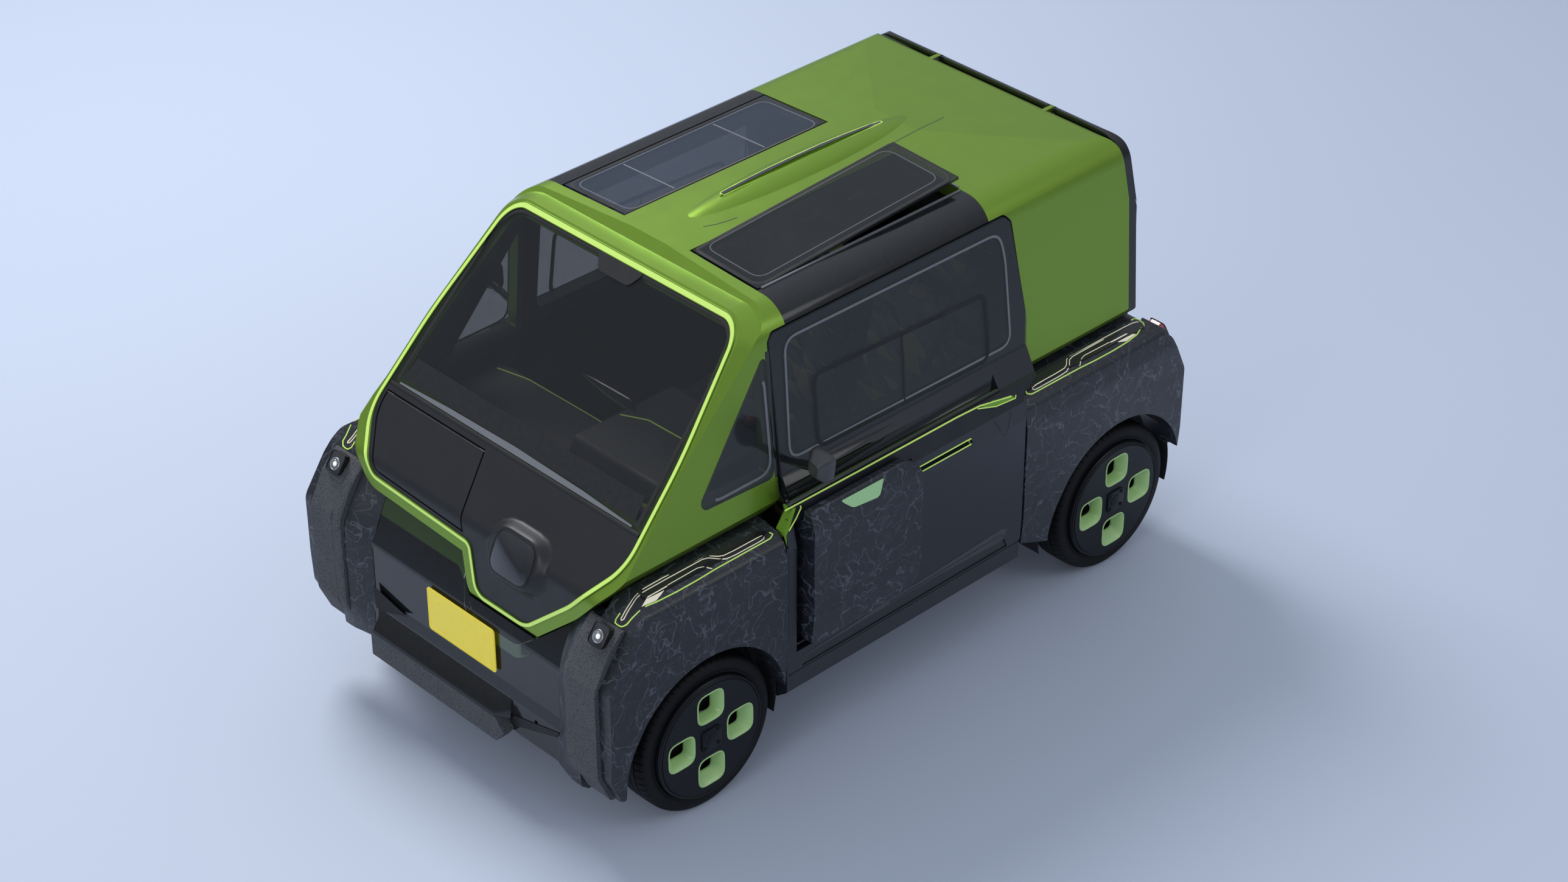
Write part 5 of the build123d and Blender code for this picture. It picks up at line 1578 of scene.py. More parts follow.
    def details(self) -> None:
        """Rear pocket, shield seam and a pale patch of painted highlight along the lower door's scallop."""
        skin = self.surface("door_panel_left")
        green, pale = bmesh.new(), bmesh.new()
        places, normals = skin.path(spaced(self.beside(self.rear_pocket), 30 * MM), -X_AXIS, 0.0)
        loft(green, [[place + normal * w * MM for place, normal in zip(places, normals)]
                     for w in (-0.8, 1.0)])
        rows = [skin.path(self.beside((y, low + (high - low) * share) for y, low, high in self.scallop),
                          -X_AXIS, 0.0)[0] for share in (0.0, 0.33, 0.67, 1.0)]
        blanket(pale, rows, X_AXIS, 0.9 * MM)
        shop = self.shop
        shop.pair("rear_pocket", green, "door_left", POCKET)
        shop.pair("pocket_lines", self.drawn("door_panel_left", self.pocket_edges), "door_left", LIME)
        shop.pair("shield_seam", self.drawn("door_panel_left", self.shield), "door_left", GASKET)
        shop.pair("door_scallop_highlight", pale, "door_left", SATIN_HIGHLIGHT, 60)

    def build(self) -> None:
        """Makes all trim of both doors."""
        for part in (self.belt_line, self.handle, self.bin_tab, self.windows, self.quarter, self.mirror,
                     self.belt_bar, self.details):
            part()


LampPlace = tuple[float, float, float, float]       # x, y, z and tilt in degrees


# ---- rims, arches and lamps ----------------------------------------------------------
@dataclass(frozen=True)
class Underside(Assembly):
    """Arch liners and brake drums, which close the view past the wheels, in millimetres."""

    liner_radius: float = 314.5
    inner_x: tuple[tuple[str, float], ...] = (("front", 396.0), ("rear", 494.0))
    outer_x: float = 650.0
    forward: float = 34.0
    centre_z: float = 275.0
    start: float = math.radians(-14)
    reach: float = math.radians(208)
    drum: float = 190.0

    def liner(self, y: float, inner: float) -> Mesh:
        """Curved sheet over one wheel.

        Args:
            y: Place of the axle.
            inner: Place of the sheet's inner edge.

        Returns:
            Its mesh.
        """
        bm = bmesh.new()
        centre = vec(0, y - self.forward, self.centre_z)
        foot = Vector((0, -math.cos(self.start), math.sin(self.start))) * self.liner_radius * MM
        ends = [bm.verts.new(centre + foot + X_AXIS * x * MM) for x in (inner, self.outer_x)]
        edge = bm.edges.new(ends)
        bmesh.ops.spin(bm, geom=[*ends, edge], cent=centre, axis=X_AXIS, angle=-self.reach, steps=48)
        bmesh.ops.recalc_face_normals(bm, faces=bm.faces[:])
        bmesh.ops.solidify(bm, geom=bm.faces[:], thickness=2 * MM)
        return bm

    def brake(self, y: float) -> Mesh:
        """Ring-shaped drum behind the wheel's windows."""
        bm = bmesh.new()
        section = ((600, 62), (606, 60), (606, self.drum), (596, self.drum + 2), (592, self.drum - 4),
                   (598, self.drum - 10))
        revolve(bm, [vec(x, y, AXLE_Z + r) for x, r in section], vec(0, y, AXLE_Z), 64)
        return bm

    def build(self) -> None:
        """Makes liners and drums at all wheels."""
        shop = self.shop
        for (end, y), (_, inner) in zip(AXLES, self.inner_x):
            shop.pair(f"arch_liner_{end}", self.liner(y, inner), "body", TUB)
            shop.pair(f"brake_drum_{end}", self.brake(y), f"wheel_{end}_left", GASKET)


@dataclass(frozen=True)
class Lamps(Assembly):
    """Projectors, bezels and grooves of the head and tail lamps, in millimetres."""

    front: LampPlace = (600.0, -1167.0, 775.0, 55.0)
    rear: LampPlace = (600.0, 1201.0, 770.0, -62.0)
    lens_drop: float = -4.0

    def plane(self, place: LampPlace) -> Plane:
        """Plane of a lamp's face."""
        x, y, z, tilt = place
        turn = math.radians(tilt)
        sign = 1 if tilt > 0 else -1
        return Plane(vec(x, y, z), Vector((sign, 0, 0)),
                     Vector((0, sign * math.cos(turn), sign * math.sin(turn))))

    def dome(self, bm: Mesh, plane: Plane, radius: float, height: float, base: float) -> None:
        """Adds a flat-bottomed dome.

        Args:
            bm: Mesh to add to.
            plane: Plane of the lamp.
            radius: Its radius.
            height: Its height.
            base: Height of its foot.
        """
        rings = []
        for step in range(7):
            turn = step / 7 * math.pi / 2
            outline = circle(radius * math.cos(turn) * MM, 28, (0, self.lens_drop * MM))
            rings.append(plane.ring(outline, (base + height * math.sin(turn)) * MM))
        loft(bm, rings)

    def frame(self, bm: Mesh, plane: Plane, width: float, radius: float, height: float,
              thickness: float) -> None:
        """Adds a rounded bar round the lamp, 6 mm higher than wide."""
        outline = box_outline(width * MM, (width + 6) * MM, radius * MM)
        tube(bm, plane.ring(outline, height * MM), thickness * MM, 8, closed=True)

    def build(self) -> None:
        """Makes the lamps' details."""
        shop = self.shop
        plane = self.plane(self.front)
        box, lens, ring, groove, core, border, guide = (bmesh.new() for _ in range(7))
        slab(box, plane, box_outline(58 * MM, 64 * MM, 14 * MM), 9 * MM, 13 * MM, 1.5 * MM)
        self.dome(lens, plane, 17, 12, 12.5)
        self.dome(core, plane, 8, 4, 12.6)
        self.frame(ring, plane, 61, 15, 13, 1.6)
        tube(groove, plane.ring(circle(18.5 * MM, 32, (0, self.lens_drop * MM)), 13.6 * MM), 1.6 * MM, 8,
             closed=True)
        shop.pair("lamp_box", box, "body", SCREEN)
        shop.pair("lamp_lens", lens, "body", LENS, 60)
        shop.pair("lamp_core", core, "body", LAMP_LIGHT, 60)
        shop.pair("lamp_border", ring, "body", GASKET)
        shop.pair("lamp_ring", groove, "body", STEEL)
        plane = self.plane(self.rear)
        self.frame(border, plane, 61, 15, 12.5, 1.8)
        for size in (44, 28):
            self.frame(guide, plane, size, 10, 12.6, 1.4)
        shop.pair("tail_border", border, "body", GASKET)
        shop.pair("tail_guides", guide, "body", RED_LENS)


# ---- nose ----------------------------------------------------------------------------
@dataclass(frozen=True)
class Nose(Assembly):
    """Cheeks, apron, painted shade of the recess and plate fittings of the nose, in millimetres."""

    levels: tuple[Place, ...] = (
        (214, -1196, -1186), (236, -1222, -1200), (330, -1230, -1200), (380, -1231, -1190),
        (560, -1231, -1190), (630, -1226, -1165), (690, -1196, -1138), (745, -1160, -1113),
        (790, -1129, -1100))
    spread: Outline = (
        (553, 1.0), (532, 1.0), (508, 0.93), (484, 0.7), (462, 0.42), (442, 0.16), (428, 0.02))
    pad: Outline = ((-1135, 800), (-1190, 745), (-1244.5, 640), (-1244.5, 330), (-1199, 227),
                    (-1180, 227), (-1180, 640), (-1120, 790))
    pad_edge: Outline = ((516, 5), (521, 1), (526, 0), (553, 0))
    shade: Outline = ((-452, 716), (-60, 716), (-22, 690), (2, 640), (24, 596), (50, 572), (84, 562),
                      (236, 562), (262, 574), (330, 628))
    shade_height: float = 50.0
    slope: Outline = ((-404, 10), (-392, 40), (178, 40), (222, 10))
    slots: tuple[Outline, ...] = (
        ((212, 262), (244, 268), (424, 330), (436, 352), (410, 346), (228, 300)),
        ((-424, 430), (-418, 352), (-392, 350), (-262, 398), (-300, 404)))
    panel_y: float = -1201.0
    bolt: Outline = ((6.5, -1), (6.5, 1.4), (5.4, 2.6), (2.0, 3.0))

    def cheeks(self) -> None:
        """Marbled inner walls of the fenders, rounding into the nose panel."""
        bm = bmesh.new()
        rings = []
        for z, front, panel in self.levels:
            ring = [vec(x, panel + (front - panel) * share - 0.6, z) for x, share in self.spread]
            rings.append([*ring, vec(428, panel + 14, z), vec(552.8, panel + 14, z)])
        loft(bm, rings)
        self.shop.pair("nose_cheek", bm, "body", MARBLED, 50)

    def pads(self) -> None:
        """Foam between the cheeks and the corner pads."""
        bm = bmesh.new()
        outline = rounded(self.pad, 26, 5)
        rings = [[vec(x, y + dy, z) for y, z in outline] for x, dy in self.pad_edge]
        loft(bm, rings)
        self.shop.pair("corner_foam", bm, "body", FOAM, 50)

    def recess(self) -> None:
        """Dark green sheet under the band of the mask: painted shade of the hollow there."""
        bm = bmesh.new()
        panel = self.surface("nose_panel")
        rows = [[], []]
        for point in spaced([vec(x, -1400, z) for x, z in self.shade], 20 * MM):
            ends, _ = panel.path([point, point - vec(0, 0, self.shade_height)], Y_AXIS, 0.0)
            if len(ends) == 2:
                rows[0].append(ends[0])
                rows[1].append(ends[1])
        blanket(bm, rows, -Y_AXIS, 0.9 * MM)
        self.shop.piece("chin_hollow_shade", bm, "body", SHADE_AND_GLINT_GREEN, 60)

    def apron(self) -> None:
        """Gloss slope between the panel and the foam strip, and the dark slots beside it."""
        bm, slots = bmesh.new(), bmesh.new()
        loft(bm, [[vec(x, -1199, 356), vec(x, -1203, 350), vec(x, -1200 - reach * 0.9, 302),
                   vec(x, -1200 - reach, 291), vec(x, -1199, 288)] for x, reach in self.slope])
        self.shop.piece("nose_apron", bm, "body", GLOSS)
        for outline in self.slots:
            loft(slots, [[vec(x, self.panel_y - w, z) for x, z in outline] for w in (0, 1.2)])
        self.shop.piece("nose_slots", slots, "body", GASKET)

    def plate(self) -> None:
        """Raised edge and bolts of the number plate."""
        rim, bolts = bmesh.new(), bmesh.new()
        plane = Plane(vec(0, self.panel_y, 491), X_AXIS, Z_AXIS)
        tube(rim, plane.ring(box_outline(303 * MM, 147 * MM, 12 * MM)), 1.5 * MM, 8, closed=True)
        for u in (-105, 105):
            loft(bolts, [plane.ring(circle(r * MM, 16, (u * MM, 40 * MM)), w * MM) for r, w in self.bolt])
        self.shop.piece("plate_rim", rim, "body", PLATE)
        self.shop.piece("plate_bolts", bolts, "body", PLATE)

    def build(self) -> None:
        """Makes all parts of the nose."""
        for part in (self.cheeks, self.pads, self.recess, self.apron, self.plate):
            part()


# ---- roof ----------------------------------------------------------------------------
@dataclass(frozen=True)
class Roof(Assembly):
    """Slot of the spine, painted shade lines along its creases and frames of the hatches, in millimetres."""

    above: float = 1700.0
    spine: tuple[tuple[str, Finish, tuple[Line, ...]], ...] = (
        ("roof_slot", SCREEN, (Line(((-15, -123), (-11, 541)), 14, 0.8, sink=1.0),)),
        ("roof_slot_border", LIME, (Line((
            (-23, -119), (-19, -126), (-11, -126), (-7, -119), (-3, 537), (-7, 544), (-15, 544),
            (-19, 537)), 3, 1.6, closed=True, sink=1.0),)),
        # Dark green lines: painted shade in the creases beside the spine.
        ("roof_crease_shade", SHADE_AND_GLINT_GREEN, (
            Line(((72, -279), (88, -240), (96, -200), (100, -169)), 4, 0.4),
            Line(((96, 493), (92, 560), (86, 640), (81, 726)), 4, 0.4))))
    hatches: tuple[tuple[str, str, Finish, tuple[Line, ...]], ...] = (
        ("hatch_frame", "right", GASKET, (
            Line(((-413, -382), (-132, -382), (-132, 430), (-413, 430)), 13, 0.6, 44, True, 6, 0.6),)),
        ("hatch_bars", "right", CABIN_GREY, (
            Line(((-398, -366), (-150, -366), (-150, 412), (-398, 412)), 3, 0.7, 40, True, 6, 0.6),
            Line(((-390, -180), (-160, -180)), 5, 0.5, sink=0.6),
            Line(((-390, 190), (-160, 190)), 5, 0.5, sink=0.6))),
        ("hatch_frame", "left", GASKET, (
            Line(((132, -380), (413, -380), (413, 424), (132, 424)), 13, 0.6, 44, True, 6, 0.6),)),
        ("hatch_line", "left", CABIN, (
            Line(((160, -352), (386, -352), (386, 392), (160, 392)), 4, 0.5, 40, True, 6, 0.6),)))
    seals: tuple[tuple[str, Line], ...] = (
        ("roof_rails", Line(((426, -380), (426, 436)), 7, 4, sink=1)),
        ("cabin_shell", Line(((140, 446), (410, 446)), 7, 4, sink=1)))

    def draw(self, bm: Mesh, node: str, lines: Iterable[Line]) -> None:
        """Draws plan lines on one node from above.

        Args:
            bm: Mesh to add to.
            node: Name of the node.
            lines: Lines with (x, y) points.
        """
        top = self.surface(node)
        for line in lines:
            points = [vec(x, y, self.above) for x, y in line.outline()]
            top.strip(bm, points, -Z_AXIS, line.width, line.lift, line.sink, line.closed, 20)

    def build(self) -> None:
        """Makes all lines of the roof."""
        shop = self.shop
        for name, finish, lines in self.spine:
            bm = bmesh.new()
            self.draw(bm, "cabin_shell", lines)
            shop.piece(name, bm, "body", finish)
        for name, side, finish, lines in self.hatches:
            bm = bmesh.new()
            self.draw(bm, f"roof_hatch_{side}", lines)
            shop.piece(f"{name}_{side}", bm, f"roof_hatch_{side}", finish)
        seal = bmesh.new()
        for node, line in self.seals:
            self.draw(seal, node, (line,))
        shop.piece("hatch_seal", seal, "body", CABIN_GREY)


# ---- rear ----------------------------------------------------------------------------
@dataclass(frozen=True)
class Rear(Assembly):
    """Window frame, handle, edge and seams of the tailgate and rear panel, in millimetres."""

    behind: float = 1500.0
    edge: Outline = ((-572, 905), (-548, 1440), (-480, 1482), (480, 1482), (548, 1440), (572, 905))
    window: Line = Line(((-500, 1010), (-470, 1440), (470, 1440), (500, 1010)), 10, 1.0, 52, True)
    window_line: Line = Line(((-478, 1030), (-450, 1420), (450, 1420), (478, 1030)), 4, 0.8, 44, True)
    seams: tuple[Line, ...] = (
        Line(((-420, 842), (420, 842)), 3.0, 0.5), Line(((-420, 560), (420, 560)), 3.0, 0.5),
        Line(((-190, 600), (-170, 790), (170, 790), (190, 600)), 3.0, 0.5, 24, True, 5))
    grip_at: Place = (0, 1139, 948)

    def drawn(self, node: str, lines: Iterable[Line]) -> Mesh:
        """Draws lines with (x, z) points on the back of a node.

        Args:
            node: Name of the node.
            lines: The lines.

        Returns:
            Their mesh.
        """
        bm = bmesh.new()
        back = self.surface(node)
        for line in lines:
            points = [vec(x, self.behind, z) for x, z in line.outline()]
            back.strip(bm, points, -Y_AXIS, line.width, line.lift, line.sink, line.closed)
        return bm

    def build(self) -> None:
        """Makes the rear's details."""
        shop = self.shop
        grip = bmesh.new()
        slab(grip, Plane(vec(*self.grip_at), -X_AXIS, Z_AXIS), box_outline(190 * MM, 30 * MM, 14 * MM), 0,
             11 * MM, 4 * MM)
        rim = Line(rounded(self.edge, 20, 4)[2:-2], 6, 1.2)
        shop.piece("rear_window_frame", self.drawn("tailgate", (self.window,)), "tailgate", GASKET)
        shop.piece("rear_window_line", self.drawn("tailgate", (self.window_line,)), "tailgate", CABIN_GREY)
        shop.piece("tailgate_edge", self.drawn("tailgate", (rim,)), "tailgate", ALLOY)
        shop.piece("tailgate_grip", grip, "tailgate", MASK)
        shop.piece("rear_seams", self.drawn("rear_panel", self.seams), "body", GASKET)


# ---- cabin ---------------------------------------------------------------------------
@dataclass(frozen=True)
class Seats(Assembly):
    """Stuffed seat cushions, backs and headrests, in millimetres."""

    seat_x: float = 262.0
    width: float = 424.0
    lean: float = math.radians(14)
    voxel: float = 6.0
    frames: int = 20
    pressure: float = 4.0
    travel: float = 24.0
    fill: float = 0.75
    stitch_width: float = 6.0
    stitch_depth: float = 7.0

    def block(self, plane: Plane, width: float, height: float, low: float, high: float, radius: float,
              ) -> Mesh:
        """Rounded block on a plane.

        Args:
            plane: Its plane.
            width: Its width.
            height: Its height.
            low: Height of its lower face over the plane.
            high: Height of its upper face.
            radius: Rounding of its corners.

        Returns:
            Its mesh.
        """
        bm = bmesh.new()
        rings = []
        for inset, w in ((14, low), (4, low + 6), (0, low + 16), (0, high - 16), (4, high - 6), (14, high)):
            outline = box_outline((width - 2 * inset) * MM, (height - 2 * inset) * MM,
                                  max(8, radius - inset) * MM)
            rings.append(plane.ring(outline, w * MM))
        loft(bm, rings)
        return bm

    def swell(self, obj: Piece) -> None:
        """Fills a cushion with pressure and keeps its new shape.

        Args:
            obj: The cushion, a closed mesh.
        """
        even = obj.modifiers.new("even", "REMESH")
        even.mode = "VOXEL"
        even.voxel_size = self.voxel * MM
        self.keep(obj)
        start = [vertex.co.copy() for vertex in obj.data.vertices]
        cloth = obj.modifiers.new("filling", "CLOTH")
        cloth.settings.use_pressure = True
        cloth.settings.uniform_pressure_force = self.pressure
        cloth.settings.effector_weights.gravity = 0.0
        cloth.point_cache.frame_start = 1
        cloth.point_cache.frame_end = self.frames
        scene = bpy.context.scene
        for frame in range(1, self.frames + 1):
            scene.frame_set(frame)
        self.keep(obj)
        scene.frame_set(1)
        for vertex, first in zip(obj.data.vertices, start):
            step = vertex.co - first
            if step.length > self.travel * MM:
                vertex.co = first + step.normalized() * self.travel * MM

    def keep(self, obj: Piece) -> None:
        """Applies all modifiers of an object."""
        graph = bpy.context.evaluated_depsgraph_get()
        mesh = bpy.data.meshes.new_from_object(obj.evaluated_get(graph))
        obj.modifiers.clear()
        obj.data = mesh

    def stitch(self, obj: Piece, plane: Plane, us: Iterable[float], vs: Iterable[float],
               reach: tuple[float, float]) -> None:
        """Presses sewn channels into the front of a cushion.

        Args:
            obj: The cushion.
            plane: Its face.
            us: Places of the channels along it.
            vs: Places of the channels across it.
            reach: Half width and half height of the stitched field.
        """
        for vertex in obj.data.vertices:
            away = vertex.co - plane.origin
            u, v, w = (away.dot(axis) / MM for axis in (plane.u, plane.v, plane.normal))
            if w < 0 or abs(u) > reach[0] or abs(v) > reach[1]:
                continue
            gaps = [u - place for place in us] + [v - place for place in vs]
            depth = sum(math.exp(-(gap / self.stitch_width) ** 2) for gap in gaps)
            vertex.co -= plane.normal * min(depth, 1.0) * self.stitch_depth * MM

    def make(self, name: str, bm: Mesh, plane: Plane, us: Sequence[float],
             vs: Sequence[float], reach: tuple[float, float], node: str) -> None:
        """Makes both sides' cushions of one kind.

        Args:
            name: Name of the pieces.
            bm: Starting shape of the left one.
            plane: Its face.
            us: Places of the channels along it.
            vs: Places of the channels across it.
            reach: Half width and half height of the stitched field.
            node: CAD node that they replace.
        """
        left = self.shop.piece(f"{name}_left", bm, "body", FABRIC, 180)
        self.swell(left)
        self.stitch(left, plane, us, vs, reach)
        finer = left.modifiers.new("finer", "SUBSURF")
        finer.levels = finer.render_levels = 1
        self.keep(left)
        smooth(left, 180)
        right_bm = bmesh.new()
        right_bm.from_mesh(left.data)
        bmesh.ops.transform(right_bm, matrix=Matrix.Diagonal((-1, 1, 1, 1)), verts=right_bm.verts[:])
        right = self.shop.piece(f"{name}_right", right_bm, "body", FABRIC, 180)
        for piece in (left, right):
            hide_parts(node)

    def build(self) -> None:
        """Makes all cushions."""
        flat = Plane(vec(self.seat_x, 66, 516), X_AXIS, Y_AXIS)
        self.make("seat_cushion", self.block(flat, self.width, 410, -36, 34, 60), flat,
                  (-120, 120), (-60, 60), (170, 165), "seat_cushions")
        up = Vector((0, math.sin(self.lean), math.cos(self.lean)))
        base = vec(self.seat_x, 352, 500)
        face = Plane(base + up * 310 * MM, X_AXIS, up)
        self.make("seat_back", self.block(face, self.width, 590, -32, 32, 70), face,
                  (-110, 110), (-150, 0, 150), (165, 250), "seat_backs")
        rest = Plane(base + up * 716 * MM, X_AXIS, up)
        self.make("headrest", self.block(rest, 226, 158, -28, 28, 50), rest, (), (0,), (90, 60),
                  "seat_backs")


@dataclass(frozen=True)
class Cabin(Assembly):
    """Dash lines, screen, vents, control and belts, in millimetres."""

    above: float = 1300.0
    dash_lines: tuple[Outline, ...] = (((-500, -620), (-380, -592), (-100, -586), (30, -590)),
                                       ((60, -610), (140, -570), (300, -566), (440, -572)))
    tag_xs: Place = (398, 412, 426)
    tag_ys: Place = (-630, -610, -590)
    screen_at: Place = (-40, -560, 985)
    vent_xs: Point = (-430, -250)
    slat_rises: tuple[float, ...] = (-18, -6, 6, 18)
    key_at: Place = (290, -300, 962)
    belt: tuple[Place, ...] = ((470, 480, 1240), (452, 430, 1180), (400, 352, 940), (380, 310, 700),
                               (430, 300, 560))
    belt_way: Place = (-0.3, -0.9, 0.3)
    shelf_xs: tuple[float, ...] = (-512, -500, 500, 512)
    shelf: Outline = ((-952, 985), (-940, 994), (-886, 990), (-850, 952), (-850, 940), (-945, 960))

    def lines(self) -> None:
        """Lime lines on the dashboard and the tag on its hood."""
        dash = self.surface("dashboard")
        lime, tag = bmesh.new(), bmesh.new()
        for points in self.dash_lines:
            dash.strip(lime, [vec(x, y, self.above) for x, y in points], -Z_AXIS, 5, 1.5, 1.0, step=20)
        for x in self.tag_xs:
            dash.strip(tag, [vec(x, y, self.above) for y in self.tag_ys], -Z_AXIS, 8, 1.2, 1.0)
        self.shop.piece("dash_line", lime, "body", LIME)
        self.shop.piece("hood_tag", tag, "body", LIME)

    def fittings(self) -> None:
        """Screen, vents and red key."""
        screen, vents, knob = (bmesh.new() for _ in range(3))
        face = Plane(vec(*self.screen_at), X_AXIS, Vector((0, -0.3, 1)).normalized())
        slab(screen, face, box_outline(230 * MM, 130 * MM, 14 * MM), -8 * MM, 0, 2 * MM)
        for x in self.vent_xs:
            grille = Plane(vec(x, -588, 880), -X_AXIS, Z_AXIS)
            for rise in self.slat_rises:
                slat = [(u, v + rise * MM) for u, v in box_outline(110 * MM, 6 * MM, 2.5 * MM)]
                slab(vents, grille, slat, 0, 9 * MM, 1 * MM)
        key = Plane(vec(*self.key_at), X_AXIS, Y_AXIS)
        slab(knob, key, box_outline(26 * MM, 26 * MM, 12 * MM), -18 * MM, 2 * MM, 4 * MM)
        shop = self.shop
        shop.piece("dash_screen", screen, "body", SCREEN)
        shop.piece("dash_vents", vents, "body", GASKET)
        shop.piece("control_key", knob, "body", RED_KEY)

    def build(self) -> None:
        """Makes the cabin's details."""
        shop = self.shop
        shelf, belts = bmesh.new(), bmesh.new()
        loft(shelf, [[vec(x, y, z) for y, z in self.shelf] for x in self.shelf_xs])
        shop.piece("dash_shelf", shelf, "body", CABIN, 50)
        self.lines()
        self.fittings()
        path = spaced([vec(*point) for point in self.belt], 40 * MM)
        ribbon(belts, path, [Vector(self.belt_way).normalized()] * len(path), 46 * MM, 1.2 * MM, 0.4 * MM)
        shop.pair("seat_belt", belts, "body", GASKET)


# ---- linings -------------------------------------------------------------------------
@dataclass(frozen=True)
class Linings(Assembly):
    """Thin layers over chosen faces of CAD nodes, which give them another finish."""

    lift: float = 0.8 * MM
    eye_z: float = 1150.0
    front_y: float = -200.0
    facing: float = 30.0

    def layer(self, node: str, keep: Callable[[Vector, Vector], bool]) -> Mesh:
        """Copies the faces of a node that pass a test, a little above them.

        Args:
            node: Name of the CAD node.
            keep: Test on a face's centre in millimetres and its normal.

        Returns:
            The layer, with a thickness.
        """
        bm = bmesh.new()
        bm.from_mesh(self.bench.nodes[node].data)
        bmesh.ops.remove_doubles(bm, verts=bm.verts[:], dist=WELD)
        bmesh.ops.recalc_face_normals(bm, faces=bm.faces[:])
        bm.normal_update()
        away = [face for face in bm.faces if not keep(face.calc_center_median() / MM, face.normal)]
        bmesh.ops.delete(bm, geom=away, context="FACES")
        bm.normal_update()
        shifts = {vertex: vertex.normal * self.lift for vertex in bm.verts}
        for vertex, shift in shifts.items():
            vertex.co += shift
        return bm

    def build(self) -> None:
        """Makes the cabin's lining, the belt channels and the front pockets."""
        shop = self.shop

        def inside(centre: Vector, normal: Vector) -> bool:
            """Whether a face of the shell looks into the cabin."""
            ahead = self.front_y - centre.y if centre.y < self.front_y else 0
            return normal.dot(Vector((-centre.x, ahead, self.eye_z - centre.z))) > self.facing

        def channel(centre: Vector, normal: Vector) -> bool:
            """Whether a face of the door lies in the channel of the belt bar."""
            return (-478 < centre.y < 398 and 893 < centre.z < 978 and 608 < centre.x < 656
                    and not (normal.z > 0.9 and centre.z > 915))

        def pocket(centre: Vector, normal: Vector) -> bool:
            """Whether a face of the door belongs to the green pocket at its front."""
            return centre.y < -478 and 830 < centre.z < 915 and centre.x > 628 and normal.y < -0.3

        shop.piece("cabin_lining", self.layer("cabin_shell", inside), "body", CABIN, 40)
        shop.pair("belt_channel", self.layer("door_panel_left", channel), "door_left", GLOSS)
        shop.pair("front_pocket", self.layer("door_panel_left", pocket), "door_left", POCKET)


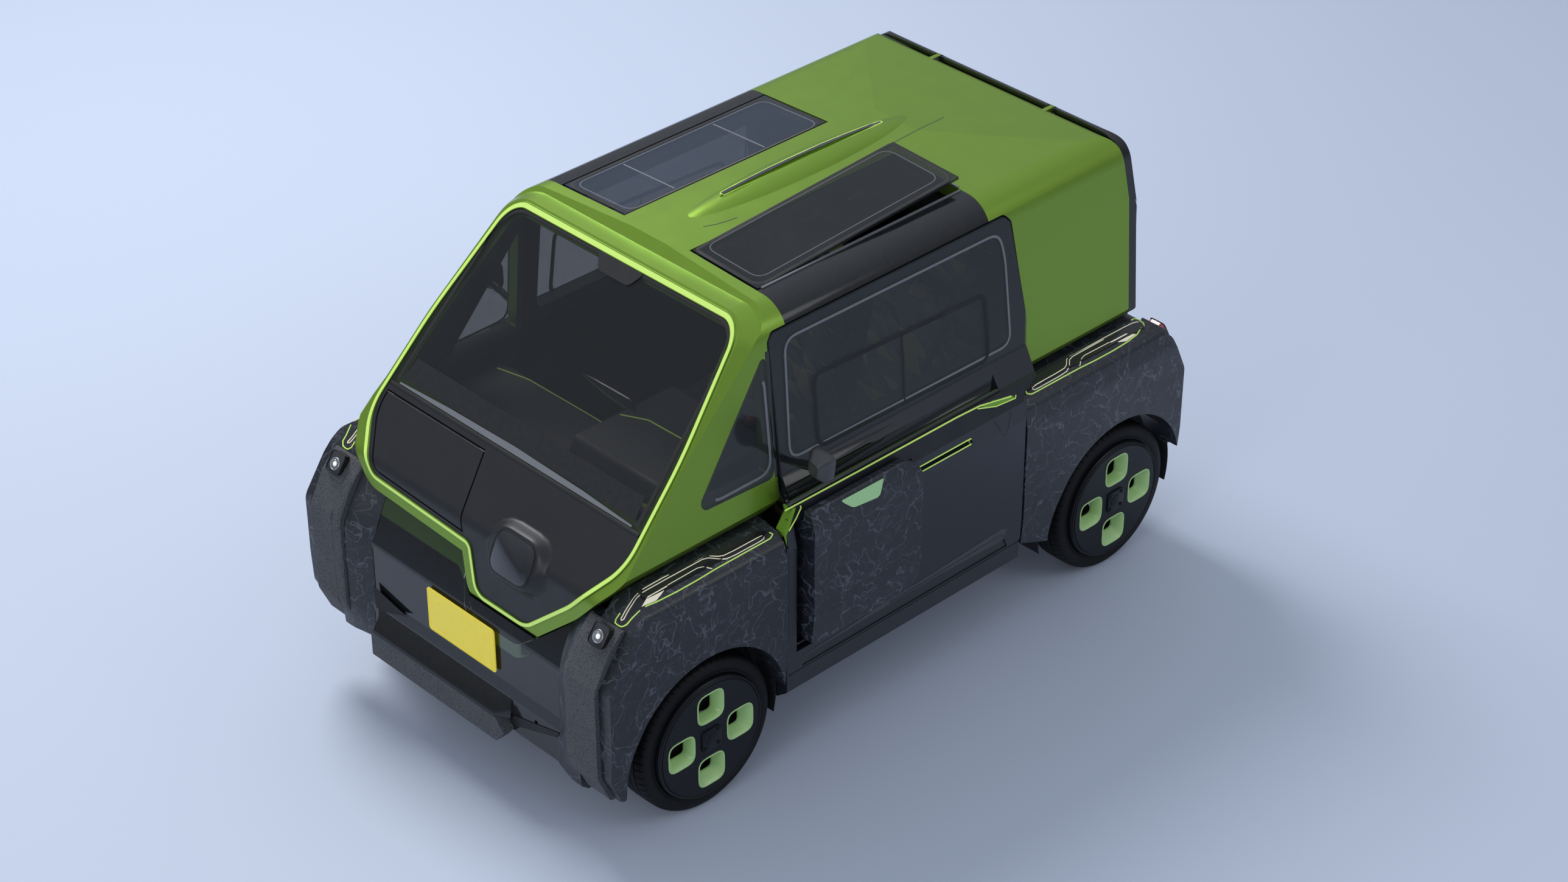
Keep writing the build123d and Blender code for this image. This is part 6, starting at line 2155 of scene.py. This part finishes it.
# ---- studio --------------------------------------------------------------------------
@dataclass(frozen=True)
class Studio:
    """Floor, soft lights, world and camera."""

    azimuth: float = 46.14
    elevation: float = 33.52
    place: Place = (6.404, -6.036, 6.435)
    lens: float = 77.34
    ground: Color = (0.60, 0.67, 0.82)
    sky: Color = (0.80, 0.87, 0.98)
    plain_light: float = 0.46
    seen_light: Point = (0.22, 0.8)
    lamps: tuple[tuple[str, Place, float, float], ...] = (
        ("key", (-5.2, 0.4, 7.4), 4.0, 470.0), ("front", (2.0, -7.0, 4.0), 3.5, 80.0),
        ("side", (7.0, 3.0, 5.0), 4.0, 60.0))
    aim: Place = (0, 0, 0.7)

    def camera(self) -> None:
        """Sets the camera."""
        data = bpy.data.cameras.new("camera")
        data.lens = self.lens
        data.sensor_width = 36.0
        data.clip_end = 200.0
        camera = bpy.data.objects.new("camera", data)
        bpy.context.scene.collection.objects.link(camera)
        a, e = math.radians(self.azimuth), math.radians(self.elevation)
        right = Vector((math.cos(a), math.sin(a), 0))
        back = Vector((math.sin(a) * math.cos(e), -math.cos(a) * math.cos(e), math.sin(e)))
        up = back.cross(right)
        matrix = Matrix((right, up, back)).transposed().to_4x4()
        matrix.translation = Vector(self.place)
        camera.matrix_world = matrix
        bpy.context.scene.camera = camera

    def floor(self) -> None:
        """Wide plain floor that fades into the sky."""
        material = bpy.data.materials.new("floor")
        material.use_nodes = True
        shader = material.node_tree.nodes["Principled BSDF"]
        shader.inputs["Base Color"].default_value = (*self.ground, 1.0)
        shader.inputs["Roughness"].default_value = 0.55
        shader.inputs["Specular IOR Level"].default_value = 0.25
        bm = bmesh.new()
        bmesh.ops.create_circle(bm, cap_ends=True, segments=96, radius=40.0)
        mesh = bpy.data.meshes.new("floor")
        bm.to_mesh(mesh)
        bm.free()
        mesh.materials.append(material)
        floor = bpy.data.objects.new("floor", mesh)
        bpy.context.scene.collection.objects.link(floor)

    def world(self) -> None:
        """Even sky; what camera, mirrors and glass see of it is a little brighter."""
        world = bpy.data.worlds.new("studio")
        world.use_nodes = True
        bpy.context.scene.world = world
        tree = world.node_tree
        back = tree.nodes["Background"]
        back.inputs["Color"].default_value = (*self.sky, 1.0)
        path = tree.nodes.new("ShaderNodeLightPath")
        sheet = Sheet(tree)
        seen = sheet.math("MAXIMUM", path.outputs["Is Camera Ray"],
                          sheet.math("MAXIMUM", path.outputs["Is Glossy Ray"],
                                     path.outputs["Is Transmission Ray"]))
        glance = tree.nodes.new("ShaderNodeTexCoord")
        split = tree.nodes.new("ShaderNodeSeparateXYZ")
        sheet.join(glance.outputs["Generated"], split.inputs[0])
        ramp = sheet.spread(split.outputs["Z"], 0.0, 0.9, *self.seen_light)
        plain = sheet.math("MULTIPLY", sheet.math("SUBTRACT", 1.0, seen), self.plain_light)
        sheet.join(sheet.math("ADD", plain, sheet.math("MULTIPLY", seen, ramp)),
                   back.inputs["Strength"])

    def lamp(self, name: str, place: Place, size: float, power: float) -> None:
        """Adds one soft area light aimed at the car.

        Args:
            name: Its name.
            place: Where it stands, in metres.
            size: Its width in metres.
            power: Its power in watts.
        """
        data = bpy.data.lights.new(name, "AREA")
        data.shape = "DISK"
        data.size = size
        data.energy = power
        lamp = bpy.data.objects.new(name, data)
        bpy.context.scene.collection.objects.link(lamp)
        lamp.location = place
        way = Vector(self.aim) - Vector(place)
        lamp.rotation_euler = way.to_track_quat("-Z", "Y").to_euler()

    def build(self) -> None:
        """Sets up the studio."""
        bpy.context.scene.view_settings.view_transform = "Standard"
        self.floor()
        self.world()
        for row in self.lamps:
            self.lamp(*row)
        self.camera()


def main() -> None:
    """Builds every sub-assembly around the CAD model."""
    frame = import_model()
    materials = Materials()
    dress_nodes(frame["nodes"], materials)
    bench = Workbench(Shop(materials), frame["nodes"])
    for kind in (Tyres, WheelTrim, Underside, LightTracks, Face, Lamps, Nose, Roof, Rear, Seats, Cabin,
                 Linings, DoorTrim):
        kind(bench).build()
        LOG.info("%s done, %d pieces so far", kind.__name__, bench.shop.count)
    Studio().build()


if __name__ == "__main__":
    logging.basicConfig(level=logging.INFO, format="%(name)s: %(message)s")
    main()
